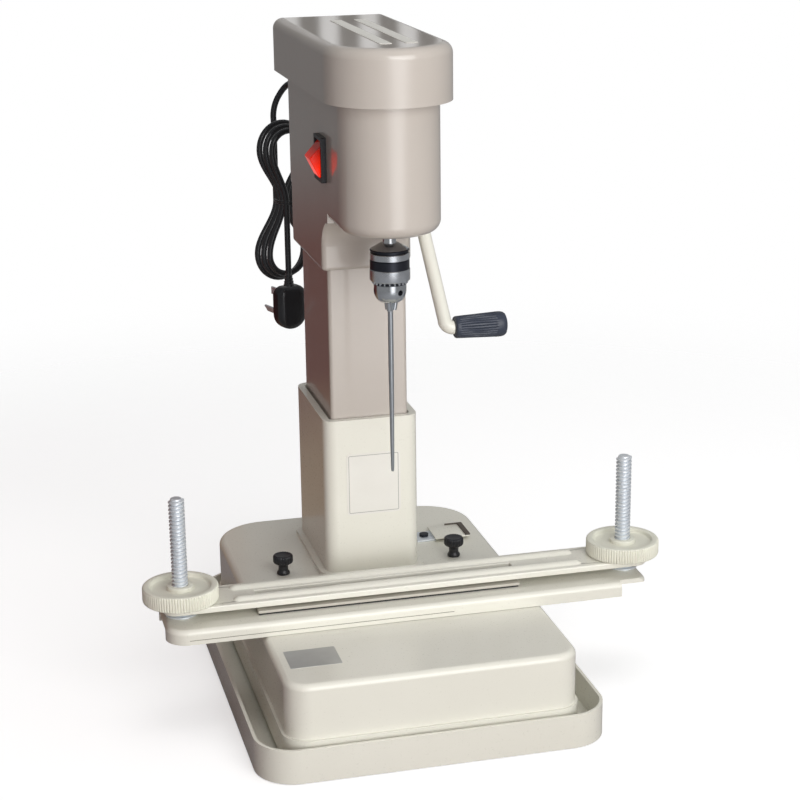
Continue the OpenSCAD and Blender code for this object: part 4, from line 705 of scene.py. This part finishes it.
# Knurled steel: crossing grooves that a wheel has rolled in, bright on their tips.
# They are drawn coarser than real ones, so that they show.
KNURL_ROUND = 46
KNURL_MM = 1.9
knurled_steel = surface("knurled_steel", "#d2d5d9", "#bec2c8", drift_mm=5, rough=(0.16, 0.28),
                        grain_mm=0.5, lift_mm=0.01, Metallic=1.0)
tree = knurled_steel.node_tree
parts = add_node(tree, "SeparateXYZ", {}, {0: add_node(tree, "TexCoord").outputs["Object"]})
depth = add_node(tree, "Math", {1: -chuck_foot.y * MM}, {0: parts.outputs["Y"]}, operation="ADD")
angle = add_node(tree, "Math", {}, {0: depth.outputs[0], 1: parts.outputs["X"]},
                 operation="ARCTAN2")
around = add_node(tree, "Math", {1: KNURL_ROUND}, {0: angle.outputs[0]}, operation="MULTIPLY")
waves = []
for lean in (1, -1):
    rise = add_node(tree, "Math", {1: lean * 2 * math.pi / (KNURL_MM * MM)},
                    {0: parts.outputs["Z"], 2: around.outputs[0]}, operation="MULTIPLY_ADD")
    waves.append(add_node(tree, "Math", {}, {0: rise.outputs[0]}, operation="SINE").outputs[0])
tips = add_node(tree, "Math", {}, {0: waves[0], 1: waves[1]}, operation="MAXIMUM")
knurl = add_node(tree, "Bump", {"Strength": 0.22, "Distance": 0.18 * MM}, {"Height": tips.outputs[0]})
tree.links.new(knurl.outputs[0], tree.nodes["Principled BSDF"].inputs["Normal"])
# Hard chrome: a smooth grey mirror, bright only where it faces a lamp.
hard_chrome = surface("hard_chrome", "#ccd0d4", "#b8bcc2", drift_mm=8, rough=(0.12, 0.22),
                      grain_mm=0.4, lift_mm=0.005, Metallic=1.0)

finish_piece(chuck, hard_chrome, "spindle", "chuck_body")
# Painted shade: the key holes' walls and floors get the dark finish; the shoulder's dark finish is real.
colour_faces(chuck, black_oxide_and_shade, lambda middle, normal: in_key_hole(middle, normal)
             or SHOULDER[0] < middle.z - chuck_foot.z < SHOULDER[1])
colour_faces(chuck, knurled_steel, lambda middle, normal: from_spindle(middle) > KNURL_INNER
             and BODY_KNURL[0] < middle.z - chuck_foot.z < BODY_KNURL[1])

TEETH = 22
TOOTH_COLUMNS = 4
TOOTH_DEPTH = 1.9
TOOTH_SHARE = 0.93
TOOTH_TIP = (-1.0, 1.0)
TOOTH_ROOT = (1.5, 2.3)
TOOTH_INNER = 12.0
TOOTH_OUTER = 13.9
BORE_OUTER = 12.4
SLEEVE_KNURL = (4.0, 10.8)
BAND_BOTTOM = 11.05
sleeve_foot = axis_point("chuck_sleeve")
key_sleeve = turned(
    "chuck_ring",
    [(11.6, 0), (12.7, 0), (13.3, 0.3), (13.6, 1.9), (14.6, 2.5), (15, 3.3), (15, 10.7),
     (14.7, 11.1), (14.6, 11.1), (14.6, 17.4), (14.2, 17.8), (11.6, 17.8), (11.6, 0)],
    sleeve_foot, "Z", TEETH * TOOTH_COLUMNS)


def in_gap(place):
    """Whether a point of the sleeve lies in a gap between two teeth."""
    return column_of(place, sleeve_foot, "Z", TEETH * TOOTH_COLUMNS) % TOOTH_COLUMNS < 2


def pick_gaps(span):
    """Selects the sleeve's outer points in the gaps, within a span of heights above its foot."""
    pick(key_sleeve, "VERT", lambda place, normal: span[0] < place.z - sleeve_foot.z < span[1]
         and from_spindle(place) > TOOTH_INNER and in_gap(place))


def blackened_or_painted_shade(middle, normal):
    """Whether a face of the sleeve is dark: its blackened band, and, as painted shade, its bore's rim and
    the gaps between the teeth.
    """
    rise = middle.z - sleeve_foot.z
    out = from_spindle(middle)
    return rise > BAND_BOTTOM or (rise < SLEEVE_KNURL[0] and out < TOOTH_OUTER and normal.z < 0.2
                                  and (in_gap(middle) or out < BORE_OUTER))


pick_gaps(TOOTH_TIP)
bpy.ops.transform.translate(value=(0, 0, TOOTH_DEPTH * MM))
pick_gaps(TOOTH_ROOT)
bpy.ops.transform.resize(value=(TOOTH_SHARE, TOOTH_SHARE, 1), center_override=sleeve_foot * MM)
bpy.ops.object.mode_set(mode="OBJECT")
finish_piece(key_sleeve, hard_chrome, "chuck_ring", "chuck_sleeve")
# Painted shade in the gaps between the teeth and on the bore's rim, beside the sleeve's real blackened band.
colour_faces(key_sleeve, black_oxide_and_shade, blackened_or_painted_shade)
colour_faces(key_sleeve, knurled_steel, lambda middle, normal: from_spindle(middle) > KNURL_INNER
             and SLEEVE_KNURL[0] < middle.z - sleeve_foot.z < SLEEVE_KNURL[1])
dress(hard_chrome, 0, "jaw_1", "jaw_2", "jaw_3")


# Needle. A hollow drill, drawn thinner toward its sharp tip, through which the chips rise.
# It is ground from hardened tool steel and held by the chuck's jaws.
# Tool steel: dull and a little dark, with fine marks of grinding.
tool_steel = surface("tool_steel", "#bcc0c4", "#a6abb0", drift_mm=5, rough=(0.24, 0.38),
                     grain_mm=0.35, lift_mm=0.01, Metallic=1.0)
drill = turned(
    "drill_needle",
    [(0.55, 26), (0.55, 0), (0.95, 0), (1.15, 1.2), (1.3, 6), (1.45, 17), (1.7, 43), (1.92, 69),
     (2, 83), (2, 151.3), (1.7, 151.5), (0, 151.5), (0, 26), (0.55, 26)],
    axis_point("needle"), "Z", steps=28)
finish_piece(drill, tool_steel, "spindle", "needle")


# Clamp bars. A lower bar, folded from sheet, slides on a flat steel rail that is screwed to the cover.
# A press bar with two beads and a slot for the needle lies over it. Both are in cream enamel.
SEAM_START = 16.0
SEAM_END = 38.0
SEAM_RISE = (3.2, 3.7)
SEAM_PROUD = 0.12
SEAM_SUNK = 1.0
dress(bright_steel, 0.3, "clamp_rail")
dress(black_oxide_and_shade, 0, "rail_screws")
dress(cream_enamel, 0.7, "lower_bar", "press_bar")
bar_low = box_mm("lower_bar")[0]
# Seam: a thin darker strip, set into the bar, that paints the shade in the gap where the sheet's edge is
# hemmed back.
seam_painted_shade = surface("seam_painted_shade", "#8f8b7e", "#817d71", drift_mm=12, rough=(0.4, 0.5),
                     grain_mm=0.8, lift_mm=0.02, IOR=1.5)
seam = slab("hem_seam_shade",
            Vector((bar_low.x + SEAM_START, bar_low.y - SEAM_PROUD, bar_low.z + SEAM_RISE[0])),
            Vector((SEAM_END, bar_low.y + SEAM_SUNK, bar_low.z + SEAM_RISE[1])), edge=0.08)
finish_piece(seam, seam_painted_shade, "clamp")


# Backing strips. Two nylon strips lie on the lower bar under the paper and take the needle's point.
# They stand on a thin dark sheet that paints the shade of the slit under them, with a channel between them.
CHANNEL = 6.0
SHEET_THICK = 1.4
SHEET_INSET = Vector((0.6, 0.8, 0))
strips_low, strips_high = box_mm("backing_strips")
strip_depth = (strips_high.y - strips_low.y - CHANNEL) / 2
strip_pair = [
    slab("nylon_strips", Vector((strips_low.x, low, strips_low.z + SHEET_THICK)),
         Vector((strips_high.x, low + strip_depth, strips_high.z)), edge=0.4)
    for low in (strips_low.y, strips_high.y - strip_depth)]
# Nylon: milky and dull, painted greyer to stand for the shade on the strips' front faces.
nylon_greyed_for_shade = surface("nylon_greyed_for_shade", "#c6c2b7", "#b6b2a6", drift_mm=9, rough=(0.45, 0.6),
                     grain_mm=0.9, lift_mm=0.02, IOR=1.53)
finish_piece(join(*strip_pair), nylon_greyed_for_shade, "clamp", "backing_strips")
# Painted shade: a dark sheet under the strips stands for the shadowed slit beneath them.
sheet_top = Vector((strips_high.x, strips_high.y, strips_low.z + SHEET_THICK))
shade_sheet = slab("strip_shade_sheet", strips_low + SHEET_INSET, sheet_top - SHEET_INSET, edge=0.2)
finish_piece(shade_sheet, black_rubber, "clamp", "backing_strips")


# Studs. Two zinc plated steel rods of 12 mm with a 3 mm trapezoidal thread, drawn as a real helix.
# They stand on the lower bar, with a round foot under it and a washer on it.
HAND_NUTS = ("left_hand_nut", "right_hand_nut")
PITCH = 3.0
THREAD_RISE = 8.2
THREAD_TURNS = 31
THREAD_SECTION = ((4.3, -1.05), (6.0, -0.5), (4.3, 1.05), (6.0, 0.5))
stud_pieces = []
for hand_nut in HAND_NUTS:
    stud_foot = axis_point(hand_nut, box_mm("studs")[0].z)
    core = turned(
        "stud_core",
        [(0, 0), (9.6, 0), (10, 0.4), (10, 6.8), (9.6, 7.2), (4.5, 7.2),
         (4.5, 101.3), (4.2, 102.3), (3.6, 102.7), (0, 102.7)],
        stud_foot, "Z", steps=40)
    bpy.ops.object.select_all(action="DESELECT")
    bpy.ops.mesh.primitive_plane_add(size=1)
    thread = bpy.context.object
    for vertex, (radius, rise) in zip(thread.data.vertices, THREAD_SECTION):
        vertex.co = (radius * MM, 0, rise * MM)
    wind = thread.modifiers.new("wind", "SCREW")
    wind.screw_offset = PITCH * MM
    wind.iterations = THREAD_TURNS
    wind.steps = wind.render_steps = 32
    wind.use_merge_vertices = True
    bpy.ops.object.modifier_apply(modifier=wind.name)
    thread.location = (stud_foot + Vector((0, 0, THREAD_RISE))) * MM
    bpy.ops.object.transform_apply(location=True, rotation=True, scale=True)
    bpy.ops.object.mode_set(mode="EDIT")
    bpy.ops.mesh.select_mode(type="VERT")
    bpy.ops.mesh.select_all(action="SELECT")
    bpy.ops.mesh.remove_doubles(threshold=MERGE_MM * MM)
    bpy.ops.mesh.fill_holes(sides=4)
    bpy.ops.mesh.normals_make_consistent(inside=False)
    bpy.ops.object.mode_set(mode="OBJECT")
    stud_pieces += [core, thread]
threaded_studs = join(*stud_pieces)
threaded_studs.name = threaded_studs.data.name = "threaded_studs"
finish_piece(threaded_studs, zinc_plate, "clamp", "studs", crease=25)
dress(zinc_plate, 0.25, "stud_washers")


# Jam nuts. Thin hexagon nuts in zinc plated steel, chamfered at both faces.
# They are screwed down on the washers and lock the studs.
NUT_FLATS = 19.0
NUT_HEIGHT = 5.0
NUT_CHAMFER = 1.0
NUT_FACE_R = 9.3
NUT_CORNER_R = 11.1
hex_nuts = []
for hand_nut in HAND_NUTS:
    nut_foot = axis_point(hand_nut, box_mm("jam_nuts")[0].z)
    bpy.ops.object.select_all(action="DESELECT")
    bpy.ops.mesh.primitive_cylinder_add(
        vertices=6, radius=NUT_FLATS / math.sqrt(3) * MM, depth=NUT_HEIGHT * MM,
        location=(nut_foot + Vector((0, 0, NUT_HEIGHT / 2))) * MM)
    hexagon = bpy.context.object
    bpy.ops.object.transform_apply(location=True, rotation=True, scale=True)
    chamfer = turned(
        "chamfer",
        [(0, 0), (NUT_FACE_R, 0), (NUT_CORNER_R, NUT_CHAMFER), (NUT_CORNER_R, NUT_HEIGHT - NUT_CHAMFER),
         (NUT_FACE_R, NUT_HEIGHT), (0, NUT_HEIGHT)],
        nut_foot, "Z", steps=60)
    carve(hexagon, chamfer, "INTERSECT")
    hex_nuts.append(hexagon)
hexagon_nuts = join(*hex_nuts)
hexagon_nuts.name = hexagon_nuts.data.name = "hexagon_nuts"
finish_piece(hexagon_nuts, zinc_plate, "clamp", "jam_nuts", crease=20)


# Hand nuts. Two round nuts moulded in cream plastic, with a ridged rim, a sunk face and a raised hub.
# They run on the studs and press the bar down.
NUT_RIDGES = 84
NUT_COLUMNS = 3
NUT_RIDGE_SHARE = 0.974
NUT_RIDGE_INNER = 28.0
# Moulded plastic: dull cream, a little greener than the enamel.
cream_plastic = surface("cream_plastic", "#e9e8da", "#dfdecf", drift_mm=18, rough=(0.4, 0.52),
                        grain_mm=0.9, lift_mm=0.03, IOR=1.49)
for body, node in zip(("nut_left", "nut_right"), HAND_NUTS):
    origin = axis_point(node)
    wheel = turned(
        node + "_wheel",
        [(6.2, 0), (26.9, 0), (27.7, 0.3), (28.3, 0.9), (28.5, 1.6), (28.5, 10.4), (28.3, 11.1),
         (27.7, 11.7), (26.9, 12), (24, 12), (23.3, 11.7), (22.9, 11), (22.4, 9.4), (21.6, 8.8),
         (20.8, 8.7), (10.8, 8.7), (10.2, 9), (10, 9.6), (10, 11.2), (9.8, 11.7), (9.2, 12), (6.2, 12),
         (6.2, 0)],
        origin, "Z", NUT_RIDGES * NUT_COLUMNS)
    flute(wheel, origin, "Z", NUT_RIDGES, NUT_COLUMNS, NUT_RIDGE_SHARE,
          lambda way: way.xy.length > NUT_RIDGE_INNER)
    finish_piece(wheel, cream_plastic, body, node)


# Bare plates. Two vinyl strips on the cap, a vinyl label with a border line on the sleeve, and a foil
# sticker on the base. All of them are blank and glued on.
PLATE_SUNK = 0.1
STRIP_SIZE = Vector((9, 165, 0.4))
STRIP_Y = 25.0
STRIP_X = {"cap_strip_left": -4.0, "cap_strip_right": 15.0}
LABEL_SIZE = Vector((43.5, 0.4, 51))
LABEL_X = 0.8
LABEL_Z = 146.5
LABEL_MARGIN = 1.5
LABEL_LINE = 0.5
SLEEVE_FLARE = 5.0
STICKER_SIZE = Vector((38, 30, 0.3))
STICKER_X = -81.0
STICKER_Y = -122.0
strip_z = box_mm("top_cap")[1].z + STRIP_SIZE.z / 2 - PLATE_SUNK
sleeve_front = box_mm("column_sleeve")[0].y + SLEEVE_FLARE
label_middle = Vector((LABEL_X, sleeve_front - LABEL_SIZE.y / 2 + PLATE_SUNK, LABEL_Z))
sticker_middle = Vector((STICKER_X, STICKER_Y, cover_top + STICKER_SIZE.z / 2 - PLATE_SUNK))
# Printed vinyl: a thin pale film with a satin face.
pale_vinyl = surface("pale_vinyl", "#e9e7e0", "#e1ded6", drift_mm=25, rough=(0.3, 0.42),
                     grain_mm=0.8, lift_mm=0.01, IOR=1.52)
# Foil: thin satin aluminium that mirrors the room softly.
satin_foil = surface("satin_foil", "#c4c5c4", "#b2b3b2", drift_mm=12, rough=(0.3, 0.42),
                     grain_mm=0.5, lift_mm=0.01, Metallic=0.6)
# Grey ink: a thin printed line, a little duller than the vinyl.
grey_ink = surface("grey_ink", "#a9a7a1", "#9b9993", drift_mm=10, rough=(0.35, 0.5),
                   grain_mm=0.6, lift_mm=0.01, IOR=1.5)


def plate(name, size, middle, corner, material, body):
    """Thin plate with round corners."""
    piece = block(name, size, middle)
    thin = min(range(3), key=lambda k: size[k])
    pick(piece, "EDGE", lambda middle, way: abs(way[thin]) > 0.9)
    bpy.ops.mesh.bevel(offset=corner * MM, segments=5, affect="EDGES")
    bpy.ops.object.mode_set(mode="OBJECT")
    return finish_piece(piece, material, body)


def in_frame(middle, normal):
    """Whether a face is the label's front, inside what has been inset so far."""
    return normal.y < -0.9 and (middle - label_middle).length < 1


for name, strip_x in STRIP_X.items():
    plate(name, STRIP_SIZE, Vector((strip_x, STRIP_Y, strip_z)), 1.0, pale_vinyl, "head")
label = plate("sleeve_label", LABEL_SIZE, label_middle, 2.6, pale_vinyl, "base")
for border, finish in ((LABEL_MARGIN, grey_ink), (LABEL_LINE, pale_vinyl)):
    pick(label, "FACE", in_frame)
    bpy.ops.mesh.inset(thickness=border * MM)
    bpy.ops.object.mode_set(mode="OBJECT")
    colour_faces(label, finish, in_frame)
plate("base_sticker", STICKER_SIZE, sticker_middle, 1.0, satin_foil, "base")


# Floor and light. White paper under a large soft lamp in front, a low one beside it and a weak one above.
# Cards around the machine stand for the room: they show in its gloss, or shade its left side.
FLOOR_R = 1.3
FLOOR_FADE = (0.55, 1.248)
FLOOR_GLOW = 0.55
FLOOR_Z = -0.0005
WHITE = (1, 1, 1, 1)
BLACK = (0, 0, 0, 1)
bpy.ops.object.select_all(action="DESELECT")
bpy.ops.mesh.primitive_circle_add(vertices=96, radius=FLOOR_R, fill_type="NGON",
                                  location=(0, 0, FLOOR_Z))
floor = bpy.context.object
floor.name = "floor"
bpy.ops.object.transform_apply(location=True, rotation=True, scale=True)
# Matt paper: it takes the shadow, reads as white, fades out at its rim and throws back little light.
paper, tree, shader, place = start_material("white_paper", Roughness=0.9)
shader.inputs["Emission Color"].default_value = WHITE
path = add_node(tree, "LightPath")
tone = add_node(tree, "Mix", {6: linear("#664c44"), 7: linear("#b4b5b7")},
                {0: path.outputs["Is Glossy Ray"]}, data_type="RGBA")
tone = add_node(tree, "Mix", {7: linear("#d8d8d8")},
                {0: path.outputs["Is Camera Ray"], 6: tone.outputs[2]}, data_type="RGBA")
tree.links.new(tone.outputs[2], shader.inputs["Base Color"])
glow = add_node(tree, "Math", {1: FLOOR_GLOW}, {0: path.outputs["Is Camera Ray"]},
                operation="MULTIPLY")
tree.links.new(glow.outputs[0], shader.inputs["Emission Strength"])
reach = add_node(tree, "VectorMath", {}, {0: place}, operation="LENGTH")
solid = add_node(tree, "MapRange",
                 {"From Min": FLOOR_FADE[0], "From Max": FLOOR_FADE[1], "To Min": 1, "To Max": 0},
                 {"Value": reach.outputs["Value"]}, interpolation_type="SMOOTHSTEP")
tree.links.new(solid.outputs[0], shader.inputs["Alpha"])
floor.data.materials.append(paper)

# World: a low even light, a little stronger in the gloss, that reads as white behind the machine.
WORLD_LIGHT = 0.24
WORLD_IN_GLOSS = 0.30
world = bpy.data.worlds.new("studio")
bpy.context.scene.world = world
world.use_nodes = True
tree = world.node_tree
path = add_node(tree, "LightPath")
strength = add_node(tree, "Math", {1: WORLD_IN_GLOSS - WORLD_LIGHT, 2: WORLD_LIGHT},
                    {0: path.outputs["Is Glossy Ray"]}, operation="MULTIPLY_ADD")
for seen in ("Is Camera Ray", "Is Transmission Ray"):
    strength = add_node(tree, "Math", {1: 1 - WORLD_LIGHT},
                        {0: path.outputs[seen], 2: strength.outputs[0]}, operation="MULTIPLY_ADD")
tree.links.new(strength.outputs[0], tree.nodes["Background"].inputs["Strength"])
tree.nodes["Background"].inputs["Color"].default_value = WHITE

# Lamps: each with its place and width in metres, its power in watts, and whether the gloss sees it.
LAMPS = (
    ("key_lamp", (0.5, -2.3, 1.2), 2.0, 38, True),
    ("low_lamp", (0.1, -2.4, 0.1), 1.8, 34, False),
    ("top_lamp", (0.3, 0.1, 2.1), 1.4, 12, False))
LIT_MIDDLE = Vector((0, 0, 0.22))
for name, place, size, power, mirrored in LAMPS:
    lamp_data = bpy.data.lights.new(name, "AREA")
    lamp_data.size = size
    lamp_data.energy = power
    lamp = bpy.data.objects.new(name, lamp_data)
    lamp.location = place
    lamp.rotation_euler = (LIT_MIDDLE - Vector(place)).to_track_quat("-Z", "Y").to_euler()
    lamp.visible_glossy = mirrored
    bpy.context.scene.collection.objects.link(lamp)


def card(name, low, high, seen_in, base):
    """Card that shows in one kind of ray only: its shader's tree, its shader and its coordinates."""
    sheet = slab(name, Vector(low) / MM, Vector(high) / MM, 1.0)
    material, tree, shader, place = start_material(name + "_felt", Roughness=1.0, Base_Color=base)
    sheet.data.materials.append(material)
    for kind in ("camera", "diffuse", "glossy", "transmission", "volume_scatter", "shadow"):
        setattr(sheet, "visible_" + kind, kind == seen_in)
    return tree, shader, add_node(tree, "SeparateXYZ", {}, {0: place})


# Side card: tan at the floor, red-brown above it and grey at the top, mirrored by the left faces.
BROWN_RISE = (0.08, 0.16)
GREY_RISE = (0.28, 0.37)
tree, shader, place = card("side_card", (-0.66, 0.3, -0.05), (-0.06, 0.31, 0.95), "glossy", BLACK)
shader.inputs["Emission Strength"].default_value = 1.0
low = add_node(tree, "MapRange", {"From Min": BROWN_RISE[0], "From Max": BROWN_RISE[1]},
               {"Value": place.outputs["Z"]})
warm = add_node(tree, "Mix", {6: linear("#927c62"), 7: linear("#5a2a27")}, {0: low.outputs[0]},
                data_type="RGBA")
high = add_node(tree, "MapRange", {"From Min": GREY_RISE[0], "From Max": GREY_RISE[1]},
                {"Value": place.outputs["Z"]})
tone = add_node(tree, "Mix", {7: linear("#737474")}, {0: high.outputs[0], 6: warm.outputs[2]},
                data_type="RGBA")
tree.links.new(tone.outputs[2], shader.inputs["Emission Color"])

# Left card: a low red-brown screen that keeps the light off the lower left faces.
card("left_card", (-0.41, -0.4, 0.15), (-0.40, 0.8, 0.40), "diffuse", linear("#8a2a20"))

# Far card: light and dark bands, as a window with its frames, mirrored by the cap's top.
BAND_PERIOD = 0.055
BAND_START = 0.21
BAND_DARK = -0.8
BAND_GLOW = 0.8
tree, shader, place = card("far_card", (-0.4, 1.2, 0.6), (1.0, 1.21, 1.5), "glossy", BLACK)
shader.inputs["Emission Color"].default_value = WHITE
turn = add_node(tree, "Math",
                {1: 2 * math.pi / BAND_PERIOD, 2: -2 * math.pi * BAND_START / BAND_PERIOD},
                {0: place.outputs["X"]}, operation="MULTIPLY_ADD")
bands = add_node(tree, "Math", {}, {0: turn.outputs[0]}, operation="SINE")
glow = add_node(tree, "MapRange", {"From Min": BAND_DARK, "From Max": 1, "To Min": 0, "To Max": BAND_GLOW},
                {"Value": bands.outputs[0]}, interpolation_type="SMOOTHSTEP")
tree.links.new(glow.outputs[0], shader.inputs["Emission Strength"])

# Front card: the lamps as the gloss sees them, bright in the middle and fading out all round.
# Each fade has an axis, its middle on it, and how far from there it is full and none, in metres.
FRONT_FADES = (("X", 0.35, 0.1, 1.1), ("Z", 0.2, 0.8, 2.0))
FRONT_GLOW = 1.8
FRONT_LEAST = 0.25
tree, shader, place = card("front_card", (-1.4, -2.5, -1.8), (2.2, -2.49, 2.2), "glossy", BLACK)
shader.inputs["Emission Color"].default_value = WHITE
fades = []
for axis, middle, full, none in FRONT_FADES:
    away = add_node(tree, "Math", {1: -middle}, {0: place.outputs[axis]}, operation="ADD")
    away = add_node(tree, "Math", {}, {0: away.outputs[0]}, operation="ABSOLUTE")
    fades.append(add_node(
        tree, "MapRange", {"From Min": full, "From Max": none, "To Min": 1, "To Max": 0},
        {"Value": away.outputs[0]}, interpolation_type="SMOOTHSTEP").outputs[0])
fade = add_node(tree, "Math", {}, {0: fades[0], 1: fades[1]}, operation="MULTIPLY")
glow = add_node(tree, "Math", {1: FRONT_GLOW, 2: FRONT_LEAST}, {0: fade.outputs[0]},
                operation="MULTIPLY_ADD")
tree.links.new(glow.outputs[0], shader.inputs["Emission Strength"])
